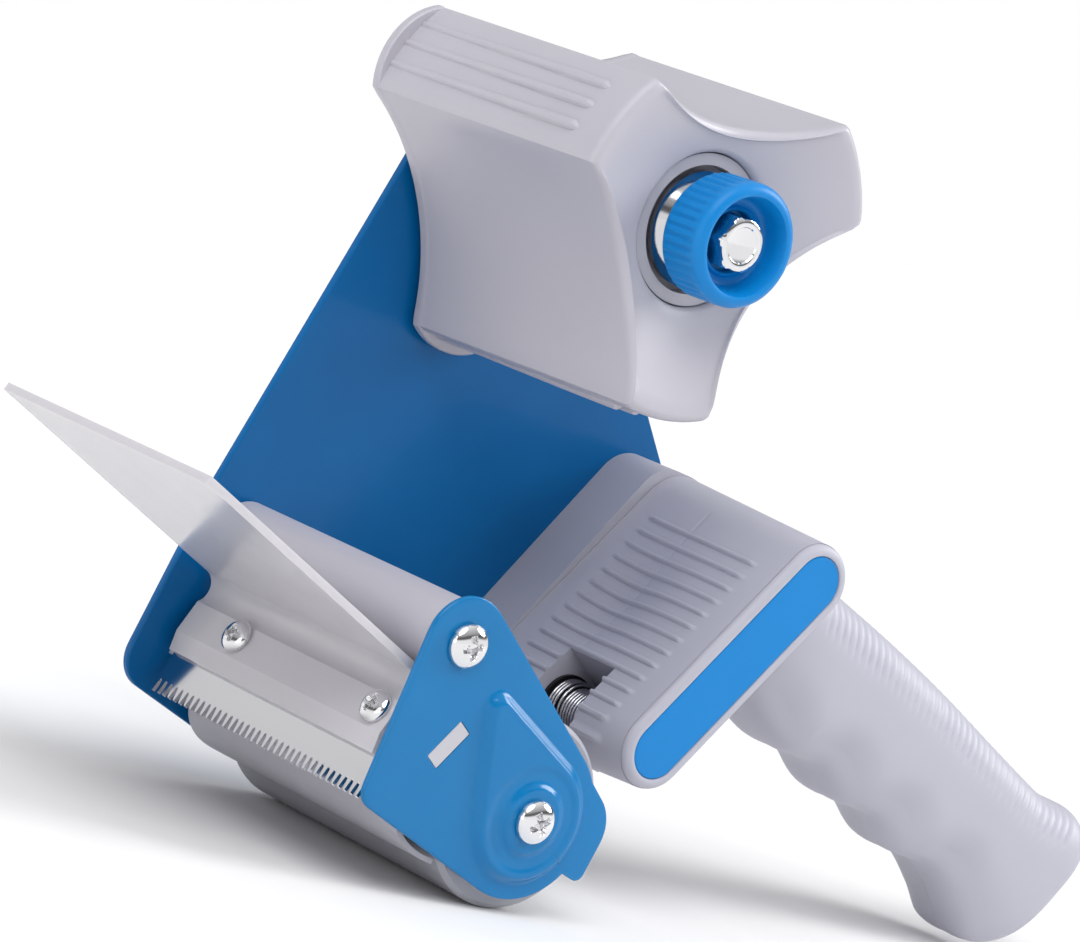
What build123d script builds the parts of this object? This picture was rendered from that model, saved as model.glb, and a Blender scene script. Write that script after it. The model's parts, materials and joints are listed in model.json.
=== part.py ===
from build123d import *
import os
from math import atan2, cos, degrees, radians, sin

os.makedirs("parts", exist_ok=True)

# Pistol-grip tape gun for 3 inch (75 mm) wide packing tape on a 76 mm core.
# Millimetres. +X runs from the cutting blade towards the grip, +Y from the open
# side towards the back plate, +Z is up. The gun is posed as in use, with its
# applicator roller on the ground and the butt of the grip just clear of it. The
# origin is on the ground, at the middle of the overall length and width.

# ---------------------------------------------------------------- driving sizes
# stations across the width
BACK_FACE = 35.2          # inner face of the back plate
CLEAR_WIDTH = 73.3        # between the back plate and the side plate
BACK_SHEET = 1.5
SIDE_SHEET = 1.2
SIDE_FACE = BACK_FACE - CLEAR_WIDTH

# axes that run across the width, as (X, Z)
HUB_AXIS = (-42.0, 135.0)
GUIDE_AXIS = (-75.1, 49.5)
ROLLER_AXIS = (-47.7, 19.3)
GRIP_LOW = (-6.8, 34.2)
GRIP_HIGH = (20.8, 73.2)

# tape hub
HUB_RADIUS = 37.3         # lobe tips at the plate end
HUB_NEAR_RADIUS = 36.5    # lobe tips at the open end
HUB_WAIST = 21.2          # bottom of the hollows between the lobes
HUB_LENGTH = 69.0
HUB_GAP = 1.5             # hub to back plate
LOBE_ANGLE = 32.6         # first of the three lobes
LOBE_HALF_ANGLE = 16.8
STOP_LIP_RADIUS = 39.9
STOP_LIP_DEPTH = 2.2
CORE_RIB_RADIUS = 38.0
HUB_WALL = 2.4

# brake on the hub
BOLT_RADIUS = 3.0
KNOB_RADIUS = 12.2
KNOB_LENGTH = 11.1
RECESS_RADIUS = 15.2

# applicator roller and tape guide
ROLLER_RADIUS = 19.3
ROLLER_LENGTH = 70.5
ROLLER_CORE_RADIUS = 16.5
AXLE_RADIUS = 4.0
GUIDE_RADIUS = 7.7
SPINDLE_RADIUS = 3.0
RUNNING_CLEARANCE = 0.07

# blade, leaning over the roller
BLADE_EDGE = (-87.8, 17.2)
BLADE_LEAN = 66.0         # degrees from level
BLADE_SHEET = 0.8
BLADE_WIDTH = 70.3
BLADE_TOP = 18.8          # height of the blade above its tooth tips
TOOTH_PITCH = 1.9
TOOTH_DEPTH = 1.8
FLAP_SHEET = 1.6
FLAP_TIP = (-141.3, 68.0)

# handle
HANDLE_WIDTH = 60.2       # back plate to the end insert
HOUSING_NEAR_RADIUS = 8.2
HOUSING_FAR_RADIUS = 10.2
BASE_DEPTH = 13.5
INSERT_RADIUS = 5.9
SHELL_WALL = 2.4
GRIP_HALF_WIDTH = 14.5
RIB_PITCH = 3.7
PIN_RADIUS = 2.5          # spring pin at the lower end of the housing


# --------------------------------------------------------------------- helpers
def side_plane(y):
    """Sketch plane across the gun at station y: local x is +X, local y is +Z, facing -Y."""
    return Plane(origin=(0, y, 0), x_dir=(1, 0, 0), z_dir=(0, -1, 0))


def axis_at(centre, y=0.0, towards=-1):
    """Placement on a cross axis whose local +Z points towards -Y or +Y."""
    return Plane(origin=(centre[0], y, centre[1]), x_dir=(1, 0, 0), z_dir=(0, towards, 0)).location


def polar(centre, radius, degrees):
    """Point at a radius and an angle from +X about a cross axis."""
    return (centre[0] + radius * cos(radians(degrees)), centre[1] + radius * sin(radians(degrees)))


def from_blade(up, out):
    """Point in (X, Z) measured up along the blade from its edge and out from its front face."""
    lean = radians(BLADE_LEAN)
    x = BLADE_EDGE[0] + up * cos(lean) - out * sin(lean)
    z = BLADE_EDGE[1] + up * sin(lean) + out * cos(lean)
    return (x, z)


def between(start, end, fraction):
    """Point part of the way from one (X, Z) point to another."""
    return (start[0] + (end[0] - start[0]) * fraction, start[1] + (end[1] - start[1]) * fraction)


def pan_screw(head_radius, head_height, shank_radius, length):
    """Cross-recessed pan-head screw: underside of the head at z = 0, shank downwards."""
    with BuildPart() as screw:
        with BuildSketch(Plane.XY.offset(-length)):
            Circle(shank_radius)
        extrude(amount=length)
        with BuildSketch(Plane.XY):
            Circle(head_radius)
        extrude(amount=head_height)
        fillet(screw.faces().sort_by(Axis.Z)[-1].edges(), 0.75 * head_height)
        with BuildSketch(Plane.XY.offset(head_height)):
            Rectangle(head_radius, 0.24 * head_radius)
            Rectangle(0.24 * head_radius, head_radius)
        extrude(amount=-0.55 * head_height, mode=Mode.SUBTRACT)
    return screw.part


def coil_profile(inner_radius, wire_radius, turns):
    """Closed stand-in for a close-wound coil: one bead per turn on a thin sleeve, axis on Z."""
    with BuildPart() as coil:
        with BuildSketch(Plane.XZ):
            with Locations((inner_radius + 0.5 * wire_radius, turns * wire_radius)):
                Rectangle(wire_radius, 2 * wire_radius * turns)
            for turn in range(turns):
                with Locations((inner_radius + wire_radius, (2 * turn + 1) * wire_radius)):
                    Circle(wire_radius)
        revolve(axis=Axis.Z)
    return coil.part


REAR_SHANK = 1.75
FRAME_SCREW = pan_screw(4.4, 2.6, 1.85, 12)
SMALL_SCREW = pan_screw(3.5, 2.2, 1.45, 9)
REAR_SCREW = pan_screw(4.0, 2.2, REAR_SHANK, 46)

# ------------------------------------------------------------------ back plate
CARRIER_TAB = from_blade(18.5, -9.2)
TAB_LENGTH = 9.2
TAB_THICK = 3.5
TAB_LEAN = 55.0
SLOT_PLAY = 0.2
SCREW_HOLE = 2.1
GRIP_SCREWS = [between(GRIP_LOW, GRIP_HIGH, f) for f in (0.33, 0.67, 1.0)]

with BuildPart() as back_plate:
    with BuildSketch(side_plane(BACK_FACE + BACK_SHEET)):
        with Locations(HUB_AXIS):
            Circle(19)
        with Locations((HUB_AXIS[0] - 39.6, 58.5)):
            Circle(3.5)
        with Locations((HUB_AXIS[0] - 44.0, 23)):
            Circle(7)
        with Locations(ROLLER_AXIS):
            Circle(16.6)
        with Locations(GRIP_LOW):
            Circle(12)
        with Locations(GRIP_HIGH):
            Circle(10.2)
        make_hull()
        with Locations(HUB_AXIS):
            Circle(BOLT_RADIUS + 0.05, mode=Mode.SUBTRACT)
        with Locations(GUIDE_AXIS, ROLLER_AXIS, *GRIP_SCREWS):
            Circle(SCREW_HOLE, mode=Mode.SUBTRACT)
        with Locations(GRIP_LOW):
            Circle(PIN_RADIUS + 0.05, mode=Mode.SUBTRACT)
        with Locations(Location(CARRIER_TAB + (0,), (0, 0, TAB_LEAN))):
            Rectangle(TAB_LENGTH + SLOT_PLAY, TAB_THICK + SLOT_PLAY, mode=Mode.SUBTRACT)
    extrude(amount=BACK_SHEET)
    fillet(back_plate.faces().sort_by(Axis.Y)[0].outer_wire().edges(), 0.5)
back_plate.part.label = "back_plate"
export_step(back_plate.part, "parts/back_plate.step")

# ------------------------------------------------------------------ side plate
EMBOSS_HEIGHT = 1.6
EMBOSS_RADIUS = 13.3
BOSS_RADIUS = 6.8
BOSS_HEIGHT = 0.5
EMBOSS_TOP = (ROLLER_AXIS[0] - 15.0, ROLLER_AXIS[1] + 19.5)

with BuildPart() as side_plate:
    with BuildSketch(side_plane(SIDE_FACE)):
        with Locations(GUIDE_AXIS):
            Circle(9.3)
        with Locations((HUB_AXIS[0] - 42.3, 19.6)):
            Circle(4)
        with Locations(ROLLER_AXIS):
            Circle(16.4)
        make_hull()
        with BuildSketch(mode=Mode.ADD):
            with Locations(GUIDE_AXIS):
                Circle(9.3)
            with Locations((ROLLER_AXIS[0] + 12.4, ROLLER_AXIS[1] - 0.5)):
                Circle(8.2)
            with Locations((ROLLER_AXIS[0] + 16.7, ROLLER_AXIS[1] - 8.6)):
                Circle(2)
            make_hull()
    extrude(amount=SIDE_SHEET)
    fillet(side_plate.faces().sort_by(Axis.Y)[0].outer_wire().edges(), 0.5)
    # pressed teardrop around the roller axle, raised outwards and hollow behind
    with BuildSketch(side_plane(SIDE_FACE - SIDE_SHEET)):
        with Locations(ROLLER_AXIS):
            Circle(EMBOSS_RADIUS)
        with Locations(EMBOSS_TOP):
            Circle(3.4)
        make_hull()
    extrude(amount=EMBOSS_HEIGHT, taper=30)
    with BuildSketch(side_plane(SIDE_FACE - SIDE_SHEET - EMBOSS_HEIGHT)):
        with Locations(ROLLER_AXIS):
            Circle(BOSS_RADIUS)
    extrude(amount=BOSS_HEIGHT, taper=20)
    with BuildSketch(side_plane(SIDE_FACE)):
        with Locations(ROLLER_AXIS):
            Circle(EMBOSS_RADIUS - 1.6)
        with Locations(EMBOSS_TOP):
            Circle(1.8)
        make_hull()
    extrude(amount=EMBOSS_HEIGHT, mode=Mode.SUBTRACT)
    with BuildSketch(side_plane(SIDE_FACE)):
        with Locations(GUIDE_AXIS, ROLLER_AXIS):
            Circle(SCREW_HOLE)
        with Locations(Location(CARRIER_TAB + (0,), (0, 0, TAB_LEAN))):
            Rectangle(TAB_LENGTH + SLOT_PLAY, TAB_THICK + SLOT_PLAY)
    extrude(amount=6, mode=Mode.SUBTRACT)
side_plate.part.label = "side_plate"
export_step(side_plate.part, "parts/side_plate.step")

# --------------------------------------------------------------------- tape hub
HUB_FAR = BACK_FACE - HUB_GAP
HUB_NEAR = HUB_FAR - HUB_LENGTH
DISH_DEPTH = 5.5
RECESS_FLOOR = HUB_FAR - 57.0
COLUMN_RADIUS = 11.5


def hub_outline(tip_radius, waist_radius, shrink=0.0):
    """Edges of three lobes joined by hollow sides; shrink draws them inwards all round."""
    with BuildLine() as outline:
        for lobe in range(3):
            mid = LOBE_ANGLE + 120 * lobe
            half = LOBE_HALF_ANGLE - shrink
            first = polar(HUB_AXIS, tip_radius - shrink, mid - half)
            last = polar(HUB_AXIS, tip_radius - shrink, mid + half)
            following = polar(HUB_AXIS, tip_radius - shrink, mid + 120 - half)
            ThreePointArc(first, polar(HUB_AXIS, tip_radius - shrink, mid), last)
            ThreePointArc(last, polar(HUB_AXIS, waist_radius - shrink, mid + 60), following)
    return outline.line.edges()


with BuildPart() as hub_core:
    with BuildSketch(side_plane(HUB_FAR)) as far_face:
        make_face(hub_outline(HUB_RADIUS, HUB_WAIST))
        fillet(far_face.vertices(), 1.5)
    with BuildSketch(side_plane(HUB_NEAR)) as near_face:
        make_face(hub_outline(HUB_NEAR_RADIUS, HUB_WAIST - 0.7))
        fillet(near_face.vertices(), 1.5)
    loft()
    fillet(hub_core.faces().sort_by(Axis.Y)[0].outer_wire().edges(), 1.4)
    # arc-shaped stops that keep the tape core off the back plate
    with BuildSketch(side_plane(HUB_FAR)):
        for lobe in range(3):
            mid = LOBE_ANGLE + 120 * lobe
            inner = HUB_RADIUS - 0.3
            with BuildLine():
                start = polar(HUB_AXIS, inner, mid - LOBE_HALF_ANGLE + 0.5)
                end = polar(HUB_AXIS, inner, mid + LOBE_HALF_ANGLE - 0.5)
                ThreePointArc(start, polar(HUB_AXIS, STOP_LIP_RADIUS, mid), end)
                Line(end, start)
            make_face()
    extrude(amount=STOP_LIP_DEPTH)
    # raised ribs that carry the tape core
    with BuildSketch(side_plane(HUB_FAR - 1.5)):
        for lobe in range(3):
            for step in (-1, 0, 1):
                centre = polar(HUB_AXIS, CORE_RIB_RADIUS - 1.3, LOBE_ANGLE + 120 * lobe + 7.8 * step)
                with Locations(centre):
                    Circle(1.3)
    extrude(amount=58)
    # dished open end, brake recess and hollow inside
    with BuildSketch(Plane.XY):
        with BuildLine():
            Polyline((0, HUB_NEAR - 1), (34, HUB_NEAR - 1), (34, HUB_NEAR),
                     (RECESS_RADIUS, HUB_NEAR + DISH_DEPTH), (RECESS_RADIUS, RECESS_FLOOR),
                     (0, RECESS_FLOOR), (0, HUB_NEAR - 1))
        make_face()
    dish = revolve(axis=Axis.Y, mode=Mode.PRIVATE)
    with Locations((HUB_AXIS[0], 0, HUB_AXIS[1])):
        add(dish, mode=Mode.SUBTRACT)
    with BuildSketch(side_plane(HUB_FAR)):
        make_face(hub_outline(HUB_RADIUS, HUB_WAIST, shrink=HUB_WALL))
        with Locations(HUB_AXIS):
            Circle(COLUMN_RADIUS, mode=Mode.SUBTRACT)
    extrude(amount=54, mode=Mode.SUBTRACT)
    with BuildSketch(side_plane(HUB_FAR)):
        with Locations(HUB_AXIS):
            Circle(BOLT_RADIUS + RUNNING_CLEARANCE)
    extrude(amount=HUB_LENGTH, mode=Mode.SUBTRACT)
hub_core.part.label = "hub_core"
export_step(hub_core.part, "parts/hub_core.step")

# --------------------------------------------------------- hub brake, on the bolt
with BuildPart() as hub_bushing:
    with BuildSketch(side_plane(RECESS_FLOOR)):
        with Locations(HUB_AXIS):
            Circle(RECESS_RADIUS - 0.3)
            Circle(BOLT_RADIUS + RUNNING_CLEARANCE, mode=Mode.SUBTRACT)
    extrude(amount=1.5)
    with BuildSketch(side_plane(RECESS_FLOOR - 1.5)):
        with Locations(HUB_AXIS):
            Circle(RECESS_RADIUS - 0.3)
            Circle(RECESS_RADIUS - 2.6, mode=Mode.SUBTRACT)
    extrude(amount=4.0)
hub_bushing.part.label = "hub_bushing"
export_step(hub_bushing.part, "parts/hub_bushing.step")

BRAKE_FACE = RECESS_FLOOR - 1.5
KNOB_BACK = BRAKE_FACE - 7.8
KNOB_FRONT = KNOB_BACK - KNOB_LENGTH
KNOB_FLOOR = KNOB_BACK - 5.6
SCREW_HEAD_SEAT = KNOB_FLOOR + 1.4

with BuildPart() as friction_washer:
    with BuildSketch(side_plane(BRAKE_FACE)):
        with Locations(HUB_AXIS):
            Circle(8.0)
            Circle(BOLT_RADIUS + 0.1, mode=Mode.SUBTRACT)
    extrude(amount=1.0)
friction_washer.part.label = "friction_washer"
export_step(friction_washer.part, "parts/friction_washer.step")

# stepped cup that keeps the spring on the bolt
with BuildPart() as cup_washer:
    with BuildSketch(Plane.XY):
        with BuildLine():
            Polyline((BOLT_RADIUS + 0.1, KNOB_BACK), (BOLT_RADIUS + 0.1, KNOB_BACK + 1.2),
                     (7.4, KNOB_BACK + 1.2), (7.4, KNOB_BACK + 4.6), (11.4, KNOB_BACK + 4.6),
                     (11.4, KNOB_BACK + 3.6), (9.6, KNOB_BACK + 3.6), (9.6, KNOB_BACK + 2.2),
                     (8.4, KNOB_BACK + 1.6), (8.4, KNOB_BACK), (BOLT_RADIUS + 0.1, KNOB_BACK))
        make_face()
    cup_ring = revolve(axis=Axis.Y, mode=Mode.PRIVATE)
    with Locations((HUB_AXIS[0], 0, HUB_AXIS[1])):
        add(cup_ring)
cup_washer.part.label = "cup_washer"
export_step(cup_washer.part, "parts/cup_washer.step")

BRAKE_SPRING = coil_profile(4.6, 0.54, 5)
with BuildPart() as brake_spring:
    with Locations(axis_at(HUB_AXIS, BRAKE_FACE - 1.1)):
        add(BRAKE_SPRING)
brake_spring.part.label = "brake_spring"
export_step(brake_spring.part, "parts/brake_spring.step")

KNURLS = 40
with BuildPart() as brake_knob:
    with BuildSketch(side_plane(KNOB_BACK)):
        with Locations(HUB_AXIS):
            Circle(KNOB_RADIUS)
    extrude(amount=KNOB_LENGTH)
    fillet(brake_knob.edges().filter_by(GeomType.CIRCLE), 1.0)
    with BuildSketch(side_plane(KNOB_BACK)):
        with Locations(HUB_AXIS):
            with PolarLocations(KNOB_RADIUS + 0.15, KNURLS):
                Circle(0.5)
    extrude(amount=KNOB_LENGTH - 2.2, mode=Mode.SUBTRACT)
    with BuildSketch(side_plane(KNOB_FRONT)):
        with Locations(HUB_AXIS):
            Circle(KNOB_RADIUS - 2.6)
    extrude(amount=KNOB_FRONT - KNOB_FLOOR, taper=-8, mode=Mode.SUBTRACT)
    with BuildSketch(side_plane(KNOB_FLOOR)):
        with Locations(HUB_AXIS):
            RegularPolygon(5.05, 6, major_radius=False)
    extrude(amount=KNOB_FLOOR - SCREW_HEAD_SEAT, mode=Mode.SUBTRACT)
    with BuildSketch(side_plane(KNOB_BACK)):
        with Locations(HUB_AXIS):
            Circle(BOLT_RADIUS + 0.05)
    extrude(amount=KNOB_LENGTH, mode=Mode.SUBTRACT)
brake_knob.part.label = "brake_knob"
export_step(brake_knob.part, "parts/brake_knob.step")

BOLT_HEAD = 5.6
NUT_FACE = BACK_FACE + BACK_SHEET + 1.2
NUT_HEIGHT = 5.0
BOLT_END = NUT_FACE + NUT_HEIGHT + 1.1
with BuildPart() as hub_bolt:
    with BuildSketch(side_plane(BOLT_END)):
        with Locations(HUB_AXIS):
            Circle(BOLT_RADIUS)
    extrude(amount=BOLT_END - SCREW_HEAD_SEAT)
    with BuildSketch(side_plane(SCREW_HEAD_SEAT)):
        with Locations(HUB_AXIS):
            RegularPolygon(5.0, 6, major_radius=False)
    extrude(amount=BOLT_HEAD)
    chamfer(hub_bolt.faces().sort_by(Axis.Y)[0].edges(), 0.5)
hub_bolt.part.label = "hub_bolt"
export_step(hub_bolt.part, "parts/hub_bolt.step")

with BuildPart() as hub_washer:
    with BuildSketch(side_plane(NUT_FACE)):
        with Locations(HUB_AXIS):
            Circle(8.0)
            Circle(BOLT_RADIUS + 0.05, mode=Mode.SUBTRACT)
    extrude(amount=1.2)
hub_washer.part.label = "hub_washer"
export_step(hub_washer.part, "parts/hub_washer.step")

with BuildPart() as hub_nut:
    with BuildSketch(side_plane(NUT_FACE + NUT_HEIGHT)):
        with Locations(HUB_AXIS):
            RegularPolygon(5.0, 6, major_radius=False)
            Circle(BOLT_RADIUS + 0.05, mode=Mode.SUBTRACT)
    extrude(amount=NUT_HEIGHT)
    chamfer(hub_nut.faces().sort_by(Axis.Y)[-1].outer_wire().edges(), 0.5)
hub_nut.part.label = "hub_nut"
export_step(hub_nut.part, "parts/hub_nut.step")

# -------------------------------------------------- tape guide behind the blade
END_PLAY = 0.5
with BuildPart() as guide_spindle:
    with BuildSketch(side_plane(BACK_FACE)):
        with Locations(GUIDE_AXIS):
            Circle(SPINDLE_RADIUS)
    extrude(amount=CLEAR_WIDTH)
    with BuildSketch(side_plane(BACK_FACE)):
        with Locations(GUIDE_AXIS):
            Circle(1.9)
    extrude(amount=11, mode=Mode.SUBTRACT)
    with BuildSketch(side_plane(SIDE_FACE + 11)):
        with Locations(GUIDE_AXIS):
            Circle(1.9)
    extrude(amount=11, mode=Mode.SUBTRACT)
guide_spindle.part.label = "guide_spindle"
export_step(guide_spindle.part, "parts/guide_spindle.step")

GUIDE_WALL = 1.5
GUIDE_END = 4.0
with BuildPart() as guide_roller:
    with BuildSketch(side_plane(BACK_FACE - END_PLAY)):
        with Locations(GUIDE_AXIS):
            Circle(GUIDE_RADIUS)
            Circle(SPINDLE_RADIUS + RUNNING_CLEARANCE, mode=Mode.SUBTRACT)
    extrude(amount=CLEAR_WIDTH - 2 * END_PLAY)
    with BuildSketch(side_plane(BACK_FACE - END_PLAY - GUIDE_END)):
        with Locations(GUIDE_AXIS):
            Circle(GUIDE_RADIUS - GUIDE_WALL)
    extrude(amount=CLEAR_WIDTH - 2 * END_PLAY - 2 * GUIDE_END, mode=Mode.SUBTRACT)
    fillet(guide_roller.edges().filter_by(GeomType.CIRCLE).group_by(SortBy.RADIUS)[-1], 0.5)
guide_roller.part.label = "guide_roller"
export_step(guide_roller.part, "parts/guide_roller.step")

SIDE_OUTER = SIDE_FACE - SIDE_SHEET
BACK_OUTER = BACK_FACE + BACK_SHEET
with BuildPart() as guide_screws:
    with Locations(axis_at(GUIDE_AXIS, SIDE_OUTER, -1), axis_at(GUIDE_AXIS, BACK_OUTER, 1)):
        add(FRAME_SCREW)
guide_screws.part.label = "guide_screws"
export_step(guide_screws.part, "parts/guide_screws.step")

# ---------------------------------------------------------- applicator roller
ROLLER_START = BACK_FACE - 1.4
with BuildPart() as roller_axle:
    with BuildSketch(side_plane(BACK_FACE)):
        with Locations(ROLLER_AXIS):
            Circle(AXLE_RADIUS)
    extrude(amount=CLEAR_WIDTH)
    with BuildSketch(side_plane(BACK_FACE)):
        with Locations(ROLLER_AXIS):
            Circle(1.9)
    extrude(amount=11, mode=Mode.SUBTRACT)
    with BuildSketch(side_plane(SIDE_FACE + 11)):
        with Locations(ROLLER_AXIS):
            Circle(1.9)
    extrude(amount=11, mode=Mode.SUBTRACT)
    with BuildSketch(side_plane(SIDE_FACE)):
        with Locations(ROLLER_AXIS):
            Circle(AXLE_RADIUS)
            Circle(1.9, mode=Mode.SUBTRACT)
    extrude(amount=EMBOSS_HEIGHT)
roller_axle.part.label = "roller_axle"
export_step(roller_axle.part, "parts/roller_axle.step")

RIM_WALL = 2.0
ROLLER_TUBE = 6.5
with BuildPart() as roller_core:
    with BuildSketch(side_plane(ROLLER_START)):
        with Locations(ROLLER_AXIS):
            Circle(ROLLER_CORE_RADIUS)
            Circle(ROLLER_CORE_RADIUS - RIM_WALL, mode=Mode.SUBTRACT)
            Circle(ROLLER_TUBE)
    extrude(amount=ROLLER_LENGTH)
    with BuildSketch(side_plane(ROLLER_START - 3)):
        with Locations(ROLLER_AXIS):
            with PolarLocations(0.5 * ROLLER_CORE_RADIUS + 1.6, 6):
                Rectangle(ROLLER_CORE_RADIUS - ROLLER_TUBE, 1.8)
    extrude(amount=ROLLER_LENGTH - 6)
    with BuildSketch(side_plane(ROLLER_START - 0.5 * ROLLER_LENGTH + 1)):
        with Locations(ROLLER_AXIS):
            Circle(ROLLER_CORE_RADIUS - 1)
    extrude(amount=2)
    with BuildSketch(side_plane(ROLLER_START)):
        with Locations(ROLLER_AXIS):
            Circle(AXLE_RADIUS + RUNNING_CLEARANCE)
    extrude(amount=ROLLER_LENGTH, mode=Mode.SUBTRACT)
roller_core.part.label = "roller_core"
export_step(roller_core.part, "parts/roller_core.step")

with BuildPart() as roller_sleeve:
    with BuildSketch(side_plane(ROLLER_START - 0.5)):
        with Locations(ROLLER_AXIS):
            Circle(ROLLER_RADIUS)
            Circle(ROLLER_CORE_RADIUS, mode=Mode.SUBTRACT)
    extrude(amount=ROLLER_LENGTH - 1)
    chamfer(roller_sleeve.edges().filter_by(GeomType.CIRCLE).group_by(SortBy.RADIUS)[-1], 1.0)
roller_sleeve.part.label = "roller_sleeve"
export_step(roller_sleeve.part, "parts/roller_sleeve.step")

BOSS_FACE = SIDE_OUTER - EMBOSS_HEIGHT - BOSS_HEIGHT
with BuildPart() as roller_screws:
    with Locations(axis_at(ROLLER_AXIS, BOSS_FACE, -1), axis_at(ROLLER_AXIS, BACK_OUTER, 1)):
        add(FRAME_SCREW)
roller_screws.part.label = "roller_screws"
export_step(roller_screws.part, "parts/roller_screws.step")

# ------------------------------------------- cutting head: carrier, blade, flap
HEAD_FAR = BACK_FACE - 2.4
HEAD_SCREWS = (BACK_FACE - 19.5, BACK_FACE - 65.5)
HEAD_SCREW_UP = 16.3

with BuildPart() as blade_carrier:
    with BuildSketch(side_plane(BACK_FACE)):
        with BuildLine():
            Polyline(from_blade(8.2, -BLADE_SHEET), from_blade(22.7, -BLADE_SHEET),
                     from_blade(22.7, -4.5), from_blade(24.2, -9.5), from_blade(20.2, -12.0),
                     from_blade(12.2, -12.0), from_blade(8.2, -5.0), from_blade(8.2, -BLADE_SHEET))
        make_face()
    extrude(amount=CLEAR_WIDTH)
    with BuildSketch(side_plane(BACK_OUTER - 0.1)):
        with Locations(Location(CARRIER_TAB + (0,), (0, 0, TAB_LEAN))):
            Rectangle(TAB_LENGTH, TAB_THICK)
    extrude(amount=CLEAR_WIDTH + BACK_SHEET + SIDE_SHEET - 0.2)
    for y in HEAD_SCREWS:
        with Locations(Plane(origin=(from_blade(HEAD_SCREW_UP, 0)[0], y,
                                     from_blade(HEAD_SCREW_UP, 0)[1]),
                             x_dir=(0, 1, 0),
                             z_dir=(-sin(radians(BLADE_LEAN)), 0, cos(radians(BLADE_LEAN)))).location):
            Cylinder(1.5, 16, mode=Mode.SUBTRACT)
blade_carrier.part.label = "blade_carrier"
export_step(blade_carrier.part, "parts/blade_carrier.step")


def blade_plane(y, out=0.0):
    """Plane on the blade's front face: local x is +Y, local y runs up the blade."""
    x, z = from_blade(0, out)
    lean = radians(BLADE_LEAN)
    return Plane(origin=(x, y, z), x_dir=(0, -1, 0), z_dir=(-sin(lean), 0, cos(lean)))


TOOTH_COUNT = int(BLADE_WIDTH / TOOTH_PITCH)
with BuildPart() as blade:
    with BuildSketch(blade_plane(HEAD_FAR - 0.5 * BLADE_WIDTH)):
        with Locations((0, 0.5 * (TOOTH_DEPTH + BLADE_TOP))):
            Rectangle(BLADE_WIDTH, BLADE_TOP - TOOTH_DEPTH)
        with BuildLine():
            corner = -0.5 * TOOTH_COUNT * TOOTH_PITCH
            points = [(corner, 3 * TOOTH_DEPTH)]
            for tooth in range(TOOTH_COUNT):
                left = corner + tooth * TOOTH_PITCH
                points += [(left, TOOTH_DEPTH), (left + 0.5 * TOOTH_PITCH, 0)]
            points += [(-corner, TOOTH_DEPTH), (-corner, 3 * TOOTH_DEPTH), points[0]]
            Polyline(*points)
        make_face()
    extrude(amount=-BLADE_SHEET)
    for y in HEAD_SCREWS:
        with BuildSketch(blade_plane(y)):
            with Locations((0, HEAD_SCREW_UP)):
                Circle(1.6)
        extrude(amount=-BLADE_SHEET, mode=Mode.SUBTRACT)
blade.part.label = "blade"
export_step(blade.part, "parts/blade.step")

FLAP_FRONT = 2.8
FLAP_BACK = 0.0
FLAP_LENGTH = 68.0
SHEET_FOOT = (-83.0, 42.3)
sheet_run = Vector(FLAP_TIP[0] - SHEET_FOOT[0], FLAP_TIP[1] - SHEET_FOOT[1]).normalized()
sheet_side = Vector(-sheet_run.Y, sheet_run.X) * -FLAP_SHEET
with BuildPart() as flap:
    with BuildSketch(side_plane(HEAD_FAR)):
        with BuildLine():
            foot = from_blade(19.2, FLAP_FRONT)
            Polyline(from_blade(19.2, FLAP_BACK), from_blade(8.6, FLAP_BACK),
                     from_blade(8.4, 1.5), from_blade(12.2, FLAP_FRONT), foot)
            ThreePointArc(foot, (foot[0] + 2.0, 38.8), SHEET_FOOT)
            Line(SHEET_FOOT, FLAP_TIP)
            tip_back = (FLAP_TIP[0] + sheet_side.X, FLAP_TIP[1] + sheet_side.Y)
            foot_back = (SHEET_FOOT[0] + sheet_side.X, SHEET_FOOT[1] + sheet_side.Y)
            Polyline(FLAP_TIP, tip_back, foot_back)
            ThreePointArc(foot_back, (foot[0] + 4.2, 39.0), from_blade(19.2, FLAP_BACK))
        make_face()
    extrude(amount=FLAP_LENGTH)
    for y in HEAD_SCREWS:
        with BuildSketch(blade_plane(y, FLAP_FRONT)):
            with Locations((0, HEAD_SCREW_UP)):
                Circle(1.6)
        extrude(amount=-6, mode=Mode.SUBTRACT)
flap.part.label = "flap"
export_step(flap.part, "parts/flap.step")

with BuildPart() as flap_screws:
    for y in HEAD_SCREWS:
        x, z = from_blade(HEAD_SCREW_UP, FLAP_FRONT)
        with Locations(Plane(origin=(x, y, z), x_dir=(0, -1, 0),
                             z_dir=blade_plane(0).z_dir).location):
            add(SMALL_SCREW)
flap_screws.part.label = "flap_screws"
export_step(flap_screws.part, "parts/flap_screws.step")

# springy leaf that holds the cut end of the tape against the roller
LEAF_SHEET = 1.0
with BuildPart() as tape_leaf:
    with BuildSketch(side_plane(BACK_FACE - 1.8)):
        with BuildLine() as leaf_line:
            Polyline((-79.6, 22.1), (-76.2, 22.4), (-76.2, 16.0))
            Spline((-76.2, 16.0), (-73.2, 10.6), (-68.8, 8.3), (-64.5, 7.3))
        trace(leaf_line.line, line_width=LEAF_SHEET)
    extrude(amount=CLEAR_WIDTH - 3.6)
tape_leaf.part.label = "tape_leaf"
export_step(tape_leaf.part, "parts/tape_leaf.step")

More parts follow.
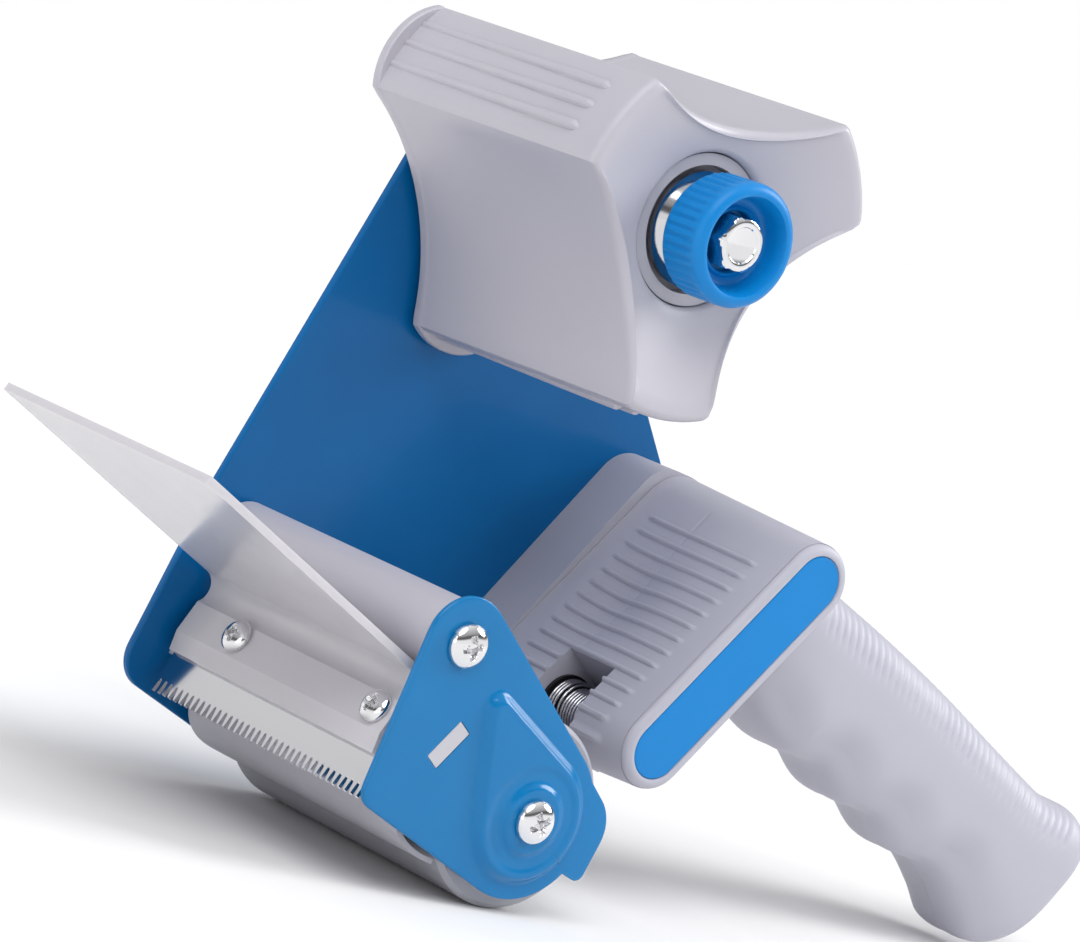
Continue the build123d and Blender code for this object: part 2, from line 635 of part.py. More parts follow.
# --------------------------------------------------------------- pistol handle
PARTING = 3.7             # plane where the two handle shells meet
BASE_TOP = BACK_FACE - BASE_DEPTH
HOUSING_NEAR = BACK_FACE - HANDLE_WIDTH
NECK_TOP = (17.4, 76.6)
NECK_BOTTOM = (19.4, 56.0)
GRIP_SHOULDER = (39.0, 73.2)
GRIP_TAIL = (117.5, 40.5)
BUTT_TOP = (134.8, 35.3)
NECK_RISE = 1.7           # how far each stretch of the back bows out from its chord
BACK_RISE = 1.3
TAIL_RISE = -0.9
FINGER_TOP = (30.0, 46.5)  # ends of the finger line on the front of the grip
FINGER_LOW = (109.5, 8.7)
FINGER_PITCH = 22.5
FIRST_CREST = 19.0        # from the top end of the finger line
FINGER_WAVE = 1.2         # half the height from hollow to crest
FINGER_SWELL = 3.0        # bulge of the finger line at its top end, and its fall per mm
FINGER_FALL = 0.058
BUTT_CORNER = (139.8, 32.4)
BUTT_HIGH = (141.2, 26.4)
BUTT_LOW = (126.8, 7.4)
BUTT_REST = (121.4, 2.2)
BUTT_HEEL = (114.4, 3.2)
handle_axis = Vector(GRIP_HIGH[0] - GRIP_LOW[0], GRIP_HIGH[1] - GRIP_LOW[1]).normalized()
HANDLE_TILT = degrees(atan2(handle_axis.Y, handle_axis.X))


def along_handle(along, out):
    """Point measured up the handle axis from its lower end and out from it on the thumb side."""
    return (GRIP_LOW[0] + along * handle_axis.X - out * handle_axis.Y,
            GRIP_LOW[1] + along * handle_axis.Y + out * handle_axis.X)


def moved(point, direction, distance):
    """Point shifted a distance along a direction in (X, Z)."""
    return (point[0] + direction[0] * distance, point[1] + direction[1] * distance)


def bowed(start, end, rise):
    """Point over the middle of a chord, pushed out to the upper side by rise."""
    chord = Vector(end[0] - start[0], end[1] - start[1])
    return ((start[0] + end[0]) / 2 - chord.Y / chord.length * rise,
            (start[1] + end[1]) / 2 + chord.X / chord.length * rise)


def finger_point(step):
    """Crest (even step) or hollow (odd step) on the front of the grip, half a pitch apart."""
    line = Vector(FINGER_LOW[0] - FINGER_TOP[0], FINGER_LOW[1] - FINGER_TOP[1]).normalized()
    along = FIRST_CREST + step * FINGER_PITCH / 2
    out = FINGER_SWELL - FINGER_FALL * along + FINGER_WAVE * (-1) ** step
    return (FINGER_TOP[0] + line.X * along + line.Y * out, FINGER_TOP[1] + line.Y * along - line.X * out)


GRIP_BACK = (bowed(NECK_TOP, GRIP_SHOULDER, NECK_RISE), GRIP_SHOULDER,
             bowed(GRIP_SHOULDER, GRIP_TAIL, BACK_RISE), GRIP_TAIL,
             bowed(GRIP_TAIL, BUTT_TOP, TAIL_RISE), BUTT_TOP)
GRIP_FINGERS = (FINGER_LOW,) + tuple(finger_point(step) for step in range(5, -1, -1)) + (FINGER_TOP,)


def grip_outline(inset=0.0):
    """Edges of the grip seen from the side, from the housing round the butt and back."""
    back = [moved(point, (-0.36, -0.93), inset) for point in (NECK_TOP,) + GRIP_BACK]
    fingers = [moved(point, (0.50, 0.87), inset) for point in GRIP_FINGERS + (NECK_BOTTOM,)]
    high = moved(BUTT_HIGH, (-1.0, 0.0), inset)
    low = moved(BUTT_LOW, (-0.3, 1.0), inset)
    heel = moved(BUTT_HEEL, (0.4, 0.95), inset)
    with BuildLine() as outline:
        Spline(*back)
        ThreePointArc(back[-1], moved(BUTT_CORNER, (-0.9, -0.5), inset), high)
        Line(high, low)
        ThreePointArc(low, moved(BUTT_REST, (0, 1), inset), heel)
        Spline(heel, *fingers)
        Line(fingers[-1], back[0])
    return outline.line.edges()


def housing_section(y, radius):
    """Rounded-slot face of the handle housing at station y."""
    with BuildSketch(side_plane(y)) as section:
        with Locations(GRIP_LOW, GRIP_HIGH):
            Circle(radius)
        make_hull()
    return section.sketch


def housing_radius(y):
    """Outer radius of the tapering housing at station y."""
    fraction = (BASE_TOP - y) / (BASE_TOP - HOUSING_NEAR)
    return HOUSING_FAR_RADIUS + (HOUSING_NEAR_RADIUS - HOUSING_FAR_RADIUS) * fraction


def flank_plane(along):
    """Plane square to the handle axis: local x is +Y, local y points out on the thumb side."""
    x, z = along_handle(along, 0)
    return Plane(origin=(x, 0, z), x_dir=(0, 1, 0), z_dir=(handle_axis.X, 0, handle_axis.Y))


# thumb-side ribs, the spring notch below them and the corrugated back of the grip
RIB_COUNT = 13
RIB_TOP = 42.0            # highest rib, measured up the handle axis
RIB_WIDTH = 1.1
RIB_HEIGHT = 0.6
RIB_FAR = 16.1
RIB_NEAR = -17.3
NOTCH_FAR = 5.7
NOTCH_NEAR = -8.3
NOTCH_TOP = 8.0
NOTCH_HALF = 6.8
NOTCH_WALL = 2.0
GROOVES = 26
GROOVE_RADIUS = 1.5
GROOVE_DEPTH = 0.4
EDGE_ROUND = 5.0

with BuildLine() as back_edge:
    Spline(NECK_TOP, *GRIP_BACK)
groove_centres = []
for groove in range(GROOVES):
    place = 0.36 + 0.64 * groove / GROOVES
    on_edge = back_edge.line @ place
    along_edge = back_edge.line % place
    lift = GROOVE_RADIUS - GROOVE_DEPTH
    groove_centres.append((on_edge.X - along_edge.Y * lift, on_edge.Y + along_edge.X * lift))


with BuildPart() as handle_base:
    with BuildSketch(side_plane(BACK_FACE)):
        with Locations(GRIP_LOW, GRIP_HIGH):
            Circle(HOUSING_FAR_RADIUS + 0.2)
        with Locations((GRIP_HIGH[0] - 3.4, GRIP_HIGH[1] + 2.4)):
            Circle(8.5)
        make_hull()
    extrude(amount=BASE_DEPTH)
    with BuildSketch(side_plane(BASE_TOP + 10)):
        with Locations(between(GRIP_LOW, GRIP_HIGH, 0.5)):
            SlotOverall(30, 2 * (HOUSING_FAR_RADIUS - 6.5), rotation=HANDLE_TILT)
    extrude(amount=10, mode=Mode.SUBTRACT)
    with BuildSketch(side_plane(BACK_FACE)):
        with Locations(*GRIP_SCREWS):
            Circle(REAR_SHANK)
        with Locations(GRIP_LOW):
            Circle(PIN_RADIUS)
    extrude(amount=BASE_DEPTH, mode=Mode.SUBTRACT)
handle_base.part.label = "handle_base"
export_step(handle_base.part, "parts/handle_base.step")

with BuildPart() as handle_far_shell:
    with BuildSketch(side_plane(PARTING)):
        make_face(grip_outline())
    extrude(amount=-GRIP_HALF_WIDTH)
    fillet(handle_far_shell.faces().sort_by(Axis.Y)[-1].outer_wire().edges(), EDGE_ROUND)
    with BuildSketch(side_plane(PARTING)):
        with Locations(*groove_centres):
            Circle(GROOVE_RADIUS)
    extrude(amount=-GRIP_HALF_WIDTH, mode=Mode.SUBTRACT)
    loft([housing_section(BASE_TOP, housing_radius(BASE_TOP)),
          housing_section(PARTING, housing_radius(PARTING))])
    for rib in range(RIB_COUNT):
        with BuildSketch(flank_plane(RIB_TOP - RIB_PITCH * rib - 0.5 * RIB_WIDTH)):
            with BuildLine():
                foot = housing_radius(RIB_FAR)
                crest = housing_radius(PARTING) + RIB_HEIGHT
                Polyline((PARTING, foot - 2), (RIB_FAR, foot - 1), (RIB_FAR, foot),
                         (RIB_FAR - 2, foot + 0.6), (PARTING, crest), (PARTING, foot - 2))
            make_face()
        extrude(amount=RIB_WIDTH)
    # hollow from the parting plane, with a closed wall at the base
    loft([housing_section(BASE_TOP - SHELL_WALL, housing_radius(BASE_TOP) - SHELL_WALL),
          housing_section(PARTING, housing_radius(PARTING) - SHELL_WALL)], mode=Mode.SUBTRACT)
    with BuildSketch(side_plane(PARTING)):
        make_face(grip_outline(inset=SHELL_WALL))
    extrude(amount=SHELL_WALL - GRIP_HALF_WIDTH, mode=Mode.SUBTRACT)
    # wall round the spring notch, screw columns
    with BuildSketch(side_plane(NOTCH_FAR + NOTCH_WALL)):
        with Locations(along_handle(0, 0)):
            SlotOverall(2 * (NOTCH_TOP + NOTCH_WALL), 2 * NOTCH_HALF + 1, rotation=HANDLE_TILT)
    extrude(amount=NOTCH_FAR + NOTCH_WALL - PARTING)
    with BuildSketch(side_plane(BASE_TOP)):
        with Locations(*GRIP_SCREWS):
            Circle(4.2)
    extrude(amount=BASE_TOP - PARTING)
    with BuildSketch(flank_plane(-NOTCH_HALF)):
        with Locations((0.5 * (NOTCH_FAR + PARTING), 0.5 * (14 - NOTCH_HALF))):
            Rectangle(NOTCH_FAR - PARTING, 14 + NOTCH_HALF)
    extrude(amount=NOTCH_HALF + NOTCH_TOP, mode=Mode.SUBTRACT)
    with BuildSketch(side_plane(BASE_TOP)):
        with Locations(*GRIP_SCREWS):
            Circle(REAR_SHANK)
        with Locations(GRIP_LOW):
            Circle(PIN_RADIUS)
    extrude(amount=BASE_TOP - PARTING, mode=Mode.SUBTRACT)
handle_far_shell.part.label = "handle_far_shell"
export_step(handle_far_shell.part, "parts/handle_far_shell.step")

CAVITY_NEAR = HOUSING_NEAR + 2.0 + SHELL_WALL
with BuildPart() as handle_near_shell:
    with BuildSketch(side_plane(PARTING)):
        make_face(grip_outline())
    extrude(amount=GRIP_HALF_WIDTH)
    fillet(handle_near_shell.faces().sort_by(Axis.Y)[0].outer_wire().edges(), EDGE_ROUND)
    with BuildSketch(side_plane(PARTING)):
        with Locations(*groove_centres):
            Circle(GROOVE_RADIUS)
    extrude(amount=GRIP_HALF_WIDTH, mode=Mode.SUBTRACT)
    loft([housing_section(PARTING, housing_radius(PARTING)),
          housing_section(HOUSING_NEAR + 1.2, housing_radius(HOUSING_NEAR + 1.2))])
    extrude(housing_section(HOUSING_NEAR + 1.2, housing_radius(HOUSING_NEAR + 1.2)), amount=1.2,
            taper=35)
    for rib in range(RIB_COUNT):
        with BuildSketch(flank_plane(RIB_TOP - RIB_PITCH * rib - 0.5 * RIB_WIDTH)):
            with BuildLine():
                foot = housing_radius(RIB_NEAR)
                crest = housing_radius(PARTING) + RIB_HEIGHT
                Polyline((PARTING, foot - 1), (RIB_NEAR, foot - 1), (RIB_NEAR, foot),
                         (RIB_NEAR + 2, foot + 0.6), (PARTING, crest), (PARTING, foot - 1))
            make_face()
        extrude(amount=RIB_WIDTH)
    loft([housing_section(PARTING, housing_radius(PARTING) - SHELL_WALL),
          housing_section(CAVITY_NEAR, housing_radius(CAVITY_NEAR) - SHELL_WALL)],
         mode=Mode.SUBTRACT)
    with BuildSketch(side_plane(PARTING)):
        make_face(grip_outline(inset=SHELL_WALL))
    extrude(amount=GRIP_HALF_WIDTH - SHELL_WALL, mode=Mode.SUBTRACT)
    with BuildSketch(side_plane(PARTING)):
        with Locations(along_handle(0, 0)):
            SlotOverall(2 * (NOTCH_TOP + NOTCH_WALL), 2 * NOTCH_HALF + 1, rotation=HANDLE_TILT)
    extrude(amount=PARTING - NOTCH_NEAR + NOTCH_WALL)
    with BuildSketch(side_plane(PARTING)):
        with Locations(*GRIP_SCREWS):
            Circle(4.2)
    extrude(amount=PARTING - CAVITY_NEAR)
    with BuildSketch(flank_plane(-NOTCH_HALF)):
        with Locations((0.5 * (NOTCH_NEAR + PARTING), 0.5 * (14 - NOTCH_HALF))):
            Rectangle(PARTING - NOTCH_NEAR, 14 + NOTCH_HALF)
    extrude(amount=NOTCH_HALF + NOTCH_TOP, mode=Mode.SUBTRACT)
    with BuildSketch(side_plane(PARTING)):
        with Locations(*GRIP_SCREWS):
            Circle(REAR_SHANK)
    extrude(amount=15, mode=Mode.SUBTRACT)
    with BuildSketch(side_plane(PARTING)):
        with Locations(GRIP_LOW):
            Circle(PIN_RADIUS)
    extrude(amount=PARTING - CAVITY_NEAR + 0.5, mode=Mode.SUBTRACT)
    # recess for the coloured insert
    extrude(housing_section(HOUSING_NEAR, INSERT_RADIUS + 0.05), amount=-2.0, mode=Mode.SUBTRACT)
handle_near_shell.part.label = "handle_near_shell"
export_step(handle_near_shell.part, "parts/handle_near_shell.step")

with BuildPart() as end_insert:
    extrude(housing_section(HOUSING_NEAR + 2.0, INSERT_RADIUS), amount=1.8)
    fillet(end_insert.faces().sort_by(Axis.Y)[0].outer_wire().edges(), 0.4)
end_insert.part.label = "end_insert"
export_step(end_insert.part, "parts/end_insert.step")

with BuildPart() as grip_screws:
    with Locations(*[axis_at(place, BACK_OUTER, 1) for place in GRIP_SCREWS]):
        add(REAR_SCREW)
grip_screws.part.label = "grip_screws"
export_step(grip_screws.part, "parts/grip_screws.step")

# ------------------------------------------------------- spring in the notch
with BuildPart() as spring_pin:
    with BuildSketch(side_plane(BACK_OUTER)):
        with Locations(GRIP_LOW):
            Circle(PIN_RADIUS)
    extrude(amount=BACK_OUTER - CAVITY_NEAR)
    chamfer(spring_pin.edges().filter_by(GeomType.CIRCLE), 0.3)
spring_pin.part.label = "spring_pin"
export_step(spring_pin.part, "parts/spring_pin.step")

with BuildPart() as spring_washer:
    with BuildSketch(side_plane(NOTCH_FAR)):
        with Locations(GRIP_LOW):
            Circle(NOTCH_HALF - 0.2)
            Circle(PIN_RADIUS, mode=Mode.SUBTRACT)
    extrude(amount=0.8)
spring_washer.part.label = "spring_washer"
export_step(spring_washer.part, "parts/spring_washer.step")

SPRING_WIRE = 0.45
WIDE_COIL = coil_profile(5.3, SPRING_WIRE, 3)
NARROW_COIL = coil_profile(4.3, SPRING_WIRE, 10)
with BuildPart() as handle_spring:
    with Locations(axis_at(GRIP_LOW, NOTCH_FAR - 0.8)):
        add(WIDE_COIL)
    with Locations(axis_at(GRIP_LOW, NOTCH_FAR - 0.8 - 6 * SPRING_WIRE + 0.1)):
        add(NARROW_COIL)
handle_spring.part.label = "handle_spring"
export_step(handle_spring.part, "parts/handle_spring.step")
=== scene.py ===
import bpy
import bmesh
import json
from math import asin, atan2, cos, exp, pi, radians, sin, sqrt
from mathutils import Matrix, Vector


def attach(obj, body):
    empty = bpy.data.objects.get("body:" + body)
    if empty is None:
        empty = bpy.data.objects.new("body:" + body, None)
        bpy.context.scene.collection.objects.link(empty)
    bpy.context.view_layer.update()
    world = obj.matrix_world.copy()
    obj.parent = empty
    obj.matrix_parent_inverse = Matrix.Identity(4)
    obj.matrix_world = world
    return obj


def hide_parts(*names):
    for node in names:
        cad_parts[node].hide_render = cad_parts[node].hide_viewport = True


# Lengths are in millimetres, in the frame's own axes, up to the lights and the camera, which are in metres.
MM = 0.001

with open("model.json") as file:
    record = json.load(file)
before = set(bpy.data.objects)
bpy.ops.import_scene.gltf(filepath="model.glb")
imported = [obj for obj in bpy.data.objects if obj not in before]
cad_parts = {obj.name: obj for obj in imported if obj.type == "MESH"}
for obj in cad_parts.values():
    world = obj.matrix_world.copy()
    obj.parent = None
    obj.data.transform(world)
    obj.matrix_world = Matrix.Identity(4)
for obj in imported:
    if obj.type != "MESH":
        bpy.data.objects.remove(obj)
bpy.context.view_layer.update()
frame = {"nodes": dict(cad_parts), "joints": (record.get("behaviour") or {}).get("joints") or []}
nodes = frame["nodes"]
joint = {j["name"]: j["pos_m"] for j in frame["joints"]}
HUB = Vector(joint["hub_spin"]) / MM
ROLLER = Vector(joint["applicator_spin"]) / MM
GUIDE = Vector(joint["guide_spin"]) / MM


# ------------------------------------------------------------------ mesh helpers
def new_mesh(name, verts, faces, body, slot, smooth=40, weld=False):
    """Mesh object from millimetre points, smooth-shaded up to an angle, riding on a body."""
    mesh = bpy.data.meshes.new(name)
    mesh.from_pydata([Vector(v) * MM for v in verts], [], faces)
    fix_normals(mesh, weld)
    return place(bpy.data.objects.new(name, mesh), body, smooth)


def fix_normals(mesh, weld=False):
    """Faces turned outwards, with points that coincide merged where asked."""
    work = bmesh.new()
    work.from_mesh(mesh)
    if weld:
        bmesh.ops.remove_doubles(work, verts=work.verts, dist=1e-7)
    bmesh.ops.recalc_face_normals(work, faces=work.faces)
    work.to_mesh(mesh)
    work.free()


def paint(obj, mat):
    """Gives a piece its finish."""
    obj.data.materials.clear()
    obj.data.materials.append(mat)


def place(obj, body, smooth=40):
    """Links a piece, shades it and lets it ride."""
    bpy.context.scene.collection.objects.link(obj)
    shade(obj, smooth)
    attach(obj, body)
    return obj


def shade(obj, angle):
    """Smooth shading with edges sharper than an angle kept crisp."""
    mesh = obj.data
    for polygon in mesh.polygons:
        polygon.use_smooth = True
    mesh.set_sharp_from_angle(angle=radians(angle))


def grid_faces(rows, columns, closed=True, skip=()):
    """Quads between rows of points that all have the same count."""
    faces = []
    for row in range(rows - 1):
        for column in range(columns if closed else columns - 1):
            if (row, column) in skip:
                continue
            after = (column + 1) % columns
            faces.append((row * columns + column, row * columns + after,
                          (row + 1) * columns + after, (row + 1) * columns + column))
    return faces


def lathe(profile, segments, centre, ripple):
    """Points and faces of a profile (radius, station) turned about a cross axis.

    Stations run from the centre towards -Y; ripple(angle, row) adds to the radius."""
    verts = []
    for row, (radius, station) in enumerate(profile):
        for step in range(segments):
            angle = 2 * pi * step / segments
            reach = radius + ripple(angle, row)
            verts.append((centre[0] + reach * cos(angle), centre[1] - station,
                          centre[2] + reach * sin(angle)))
    return verts, grid_faces(len(profile), segments)


def smoothstep(low, high, value):
    """0 below low, 1 above high, with a soft run between."""
    t = min(max((value - low) / (high - low), 0.0), 1.0)
    return t * t * (3 - 2 * t)


def joined(parts):
    """Several (verts, faces) lists as one."""
    verts, faces = [], []
    for part_verts, part_faces in parts:
        base = len(verts)
        verts += part_verts
        faces += [tuple(index + base for index in face) for face in part_faces]
    return verts, faces


# --------------------------------------------------------------------- materials
MOTTLE_SCALE, MOTTLE_DETAIL, BUMP_DETAIL = 38.0, 5.0, 3.0
MOTTLE_FROM, MOTTLE_TO = 0.32, 0.68
SCATTER_DEPTH = 0.003                         # metres
CAD_CREASE = 35                               # degrees


def material(name, colour, roughness, metallic=0.0, coat=0.0, bump=0.0, bump_scale=400.0, mottle=0.03,
             rough_spread=0.06, coat_roughness=0.05, specular=0.5, subsurface=0.0, stretch=(1, 1, 1)):
    """Principled material whose colour, roughness and bump vary procedurally over the surface."""
    mat = bpy.data.materials.new(name)
    mat.use_nodes = True
    tree = mat.node_tree
    tree.nodes.clear()
    add = tree.nodes.new
    link = tree.links.new
    out = add("ShaderNodeOutputMaterial")
    shader = add("ShaderNodeBsdfPrincipled")
    link(shader.outputs[0], out.inputs[0])
    shader.inputs["Metallic"].default_value = metallic
    shader.inputs["Coat Weight"].default_value = coat
    shader.inputs["Coat Roughness"].default_value = coat_roughness
    shader.inputs["Specular IOR Level"].default_value = specular
    shader.inputs["Subsurface Weight"].default_value = subsurface
    shader.inputs["Subsurface Scale"].default_value = SCATTER_DEPTH
    shader.inputs["Subsurface Radius"].default_value = (1, 1, 1)
    coords = add("ShaderNodeTexCoord")
    mapping = add("ShaderNodeMapping")
    mapping.inputs["Scale"].default_value = stretch
    link(coords.outputs["Object"], mapping.inputs[0])
    wide = add("ShaderNodeTexNoise")
    wide.inputs["Scale"].default_value = MOTTLE_SCALE
    wide.inputs["Detail"].default_value = MOTTLE_DETAIL
    link(mapping.outputs[0], wide.inputs["Vector"])
    ramp = add("ShaderNodeValToRGB")
    low = [channel * (1 - mottle) for channel in colour]
    high = [min(channel * (1 + mottle), 1.0) for channel in colour]
    ramp.color_ramp.elements[0].position = MOTTLE_FROM
    ramp.color_ramp.elements[1].position = MOTTLE_TO
    ramp.color_ramp.elements[0].color = (*low, 1)
    ramp.color_ramp.elements[1].color = (*high, 1)
    link(wide.outputs["Fac"], ramp.inputs[0])
    link(ramp.outputs[0], shader.inputs["Base Color"])
    fine = add("ShaderNodeTexNoise")
    fine.inputs["Scale"].default_value = bump_scale
    fine.inputs["Detail"].default_value = BUMP_DETAIL
    link(mapping.outputs[0], fine.inputs["Vector"])
    span = add("ShaderNodeMapRange")
    span.inputs["To Min"].default_value = max(roughness - rough_spread, 0.01)
    span.inputs["To Max"].default_value = roughness + rough_spread
    link(wide.outputs["Fac"], span.inputs["Value"])
    link(span.outputs[0], shader.inputs["Roughness"])
    if bump:
        relief = add("ShaderNodeBump")
        relief.inputs["Strength"].default_value = 1.0
        relief.inputs["Distance"].default_value = bump * MM
        link(fine.outputs["Fac"], relief.inputs["Height"])
        link(relief.outputs[0], shader.inputs["Normal"])
        link(relief.outputs[0], shader.inputs["Coat Normal"])
    return mat


def srgb(red, green, blue):
    """Linear colour from 0-255 display values."""
    return [((c / 255 + 0.055) / 1.055) ** 2.4 if c > 10 else c / 255 / 12.92 for c in (red, green, blue)]


PAINT = material("blue_enamel", srgb(4, 114, 174), 0.16, coat=0.12, bump=0.010, bump_scale=520,
                 mottle=0.04, coat_roughness=0.04, specular=0.30)
# Same blue enamel as the side plate, made darker for the back plate: painted shade for the shadow the hub and
# frame cast on it.
SHADED_BACK_PLATE_ENAMEL = material("blue_enamel_back_plate_painted_shade", srgb(4, 96, 158), 0.22, coat=0.10, bump=0.016, bump_scale=420,
                 mottle=0.05, coat_roughness=0.04, specular=0.16)
HUB_WHITE = material("moulded_light_grey", srgb(182, 180, 189), 0.36, bump=0.004, bump_scale=900,
                     mottle=0.012, subsurface=0.05)
# Lighter than the hub's grey plastic: painted light for light glowing through the thin sheet, on top of its
# real subsurface scatter.
FLAP_WHITE_PAINTED_GLOW = material("flap_white_painted_glow", srgb(196, 194, 199), 0.22, bump=0.003, bump_scale=300, mottle=0.01,
                      subsurface=0.25)
GRIP_GREY = material("grip_grey", srgb(178, 178, 190), 0.45, bump=0.006, bump_scale=1500, mottle=0.014,
                     subsurface=0.04)
BLUE_PLASTIC = material("bright_blue_plastic", srgb(0, 126, 199), 0.36, bump=0.004, bump_scale=900,
                        mottle=0.03, subsurface=0.05, specular=0.3)
CARRIER_WHITE = material("carrier_white", srgb(190, 189, 196), 0.35, bump=0.004, bump_scale=900, mottle=0.02)
CORE_WHITE = material("roller_core_white", srgb(182, 182, 190), 0.4, bump=0.004, bump_scale=900, mottle=0.02)
RUBBER = material("roller_grey_rubber", srgb(158, 158, 166), 0.42, bump=0.010, bump_scale=1100, mottle=0.03,
                  stretch=(1, 0.15, 1))
GREY_PLASTIC = material("grey_plastic", srgb(176, 175, 184), 0.4, bump=0.004, bump_scale=900, mottle=0.03)
CHROME = material("chrome_plate", (0.78, 0.78, 0.79), 0.08, metallic=1.0, bump=0.004, bump_scale=700,
                  mottle=0.05, rough_spread=0.03)
STEEL = material("zinc_steel", (0.60, 0.60, 0.62), 0.22, metallic=1.0, bump=0.006, bump_scale=900,
                 mottle=0.08)
BLADE = material("blade_steel", (0.72, 0.72, 0.74), 0.13, metallic=1.0, bump=0.004, bump_scale=260,
                 mottle=0.05, rough_spread=0.04, stretch=(1, 0.06, 1))
BLACK = material("black_oxide", srgb(30, 30, 33), 0.35, metallic=0.4, bump=0.006, bump_scale=900, mottle=0.1)
BRUSHED = material("turned_steel", (0.55, 0.55, 0.57), 0.3, metallic=1.0, bump=0.01, bump_scale=1600,
                   mottle=0.06, stretch=(1, 0.1, 1))


def dress(node, mat):
    """Finish for a CAD node that stays."""
    paint(nodes[node], mat)
    shade(nodes[node], CAD_CREASE)


for node, mat in (("back_plate", SHADED_BACK_PLATE_ENAMEL), ("hub_bushing", GREY_PLASTIC),
                  ("friction_washer", STEEL), ("cup_washer", CHROME),
                  ("hub_washer", STEEL), ("hub_nut", STEEL), ("guide_roller", HUB_WHITE),
                  ("guide_spindle", BRUSHED), ("roller_axle", BRUSHED), ("roller_core", CORE_WHITE),
                  ("roller_sleeve", RUBBER), ("blade_carrier", CARRIER_WHITE),
                  ("flap", FLAP_WHITE_PAINTED_GLOW), ("tape_leaf", GREY_PLASTIC), ("handle_base", GRIP_GREY),
                  ("end_insert", BLUE_PLASTIC), ("spring_pin", STEEL), ("spring_washer", BLACK)):
    dress(node, mat)

# ------------------------------------------------------------- outline helpers
def curve_through(points, per_span=24):
    """Smooth open curve through (X, Z) points, as a fine polyline."""
    pts = [Vector(p) for p in points]
    pts = [2 * pts[0] - pts[1]] + pts + [2 * pts[-1] - pts[-2]]
    line = []
    for i in range(1, len(pts) - 2):
        p0, p1, p2, p3 = pts[i - 1:i + 3]
        d0, d1, d2 = (sqrt((b - a).length) for a, b in ((p0, p1), (p1, p2), (p2, p3)))
        m1 = ((p1 - p0) / d0 - (p2 - p0) / (d0 + d1) + (p2 - p1) / d1) * d1
        m2 = ((p2 - p1) / d1 - (p3 - p1) / (d1 + d2) + (p3 - p2) / d2) * d1
        for step in range(per_span):
            t = step / per_span
            line.append((2 * t ** 3 - 3 * t * t + 1) * p1 + (t ** 3 - 2 * t * t + t) * m1
                        + (3 * t * t - 2 * t ** 3) * p2 + (t ** 3 - t * t) * m2)
    return line + [pts[-2]]


def at_progress(line, direction, fraction):
    """Point of a polyline at a fraction of its run along a direction."""
    runs = [p.dot(direction) for p in line]
    wanted = runs[0] + (runs[-1] - runs[0]) * fraction
    for i in range(len(runs) - 1):
        if wanted <= runs[i + 1] or i == len(runs) - 2:
            share = (wanted - runs[i]) / max(runs[i + 1] - runs[i], 1e-9)
            return line[i].lerp(line[i + 1], min(max(share, 0.0), 1.0))


def arc_through(first, middle, last, fraction):
    """Point at a fraction of the arc through three (X, Z) points."""
    a, b, c = Vector(first), Vector(middle), Vector(last)
    d = 2 * (a.x * (b.y - c.y) + b.x * (c.y - a.y) + c.x * (a.y - b.y))
    centre = Vector(((a.dot(a) * (b.y - c.y) + b.dot(b) * (c.y - a.y) + c.dot(c) * (a.y - b.y)) / d,
                     (a.dot(a) * (c.x - b.x) + b.dot(b) * (a.x - c.x) + c.dot(c) * (b.x - a.x)) / d))

    def turn(point):
        return atan2(point.y - centre.y, point.x - centre.x)

    start = turn(a)
    sweep = [(turn(p) - start + pi) % (2 * pi) - pi for p in (b, c)]
    total = sweep[1] if sweep[0] * sweep[1] > 0 else sweep[1] - 2 * pi * (1 if sweep[1] > 0 else -1)
    radius = (a - centre).length
    angle = start + total * fraction
    return centre + Vector((cos(angle), sin(angle))) * radius


def soft_min(a, b, k):
    """Smaller of two values, blended where they are within k."""
    blend = max(k - abs(a - b), 0.0) / k
    return min(a, b) - blend * blend * k / 4


def tube(path, radius, sides=10):
    """Round wire along a polyline of 3-D points."""
    verts = []
    side = None
    for i, point in enumerate(path):
        ahead = (path[min(i + 1, len(path) - 1)] - path[max(i - 1, 0)]).normalized()
        side = (side - ahead * side.dot(ahead)).normalized() if side else ahead.orthogonal().normalized()
        up = ahead.cross(side)
        verts += [point + (side * cos(2 * pi * k / sides) + up * sin(2 * pi * k / sides)) * radius
                  for k in range(sides)]
    faces = grid_faces(len(path), sides)
    last = len(verts) - sides
    return verts, faces + [tuple(range(sides)), tuple(range(last, last + sides))]


# ------------------------------------------------------------------- tape hub
HUB_FAR, HUB_NEAR = 33.7, -35.3
LOBE_ANGLE, LOBE_HALF = 32.6, 16.8
RECESS_RADIUS, RECESS_FLOOR, DISH_DEPTH = 15.2, -23.3, 5.5
BORE = 3.07
HUB_TIP, HUB_WAIST, LOBE_BLEND = 37.3, 21.2, 2.2
TIP_TAPER, WAIST_TAPER = 0.8, 0.7             # radius lost from the plate end to the open end
CORE_RIBS, RIB_RADIUS = (-7.8, 0, 7.8), 37    # degrees from the middle of a lobe
RIB_FAR, RIB_NEAR, RIB_ROUND = 32.2, -26.5, -25.4
LIP_CENTRE, LIP_ROUND, LIP_HALF = 24.6, 15.3, 0.288
COLUMN, CAVITY = 11.5, 54
DISH_EDGE = 34
WALL_START = HUB_FAR - 2.3
ROUND = 1.7


def hub_reach(angle, y, shrink=0.0):
    """Radius of the three-lobed outline in a direction (degrees) at station y."""
    run = (HUB_FAR - y) / (HUB_FAR - HUB_NEAR)
    tip, waist = HUB_TIP - TIP_TAPER * run, HUB_WAIST - WAIST_TAPER * run
    spread = radians(60 - LOBE_HALF)
    away = (tip ** 2 - waist ** 2) / (2 * (tip * cos(spread) - waist))
    off = radians((angle - LOBE_ANGLE) % 120 - 60)
    under = (away - waist) ** 2 - (away * sin(off)) ** 2
    hollow = away * cos(off) - sqrt(under) if under > 0 else 2 * tip
    return soft_min(tip, hollow, LOBE_BLEND) - shrink


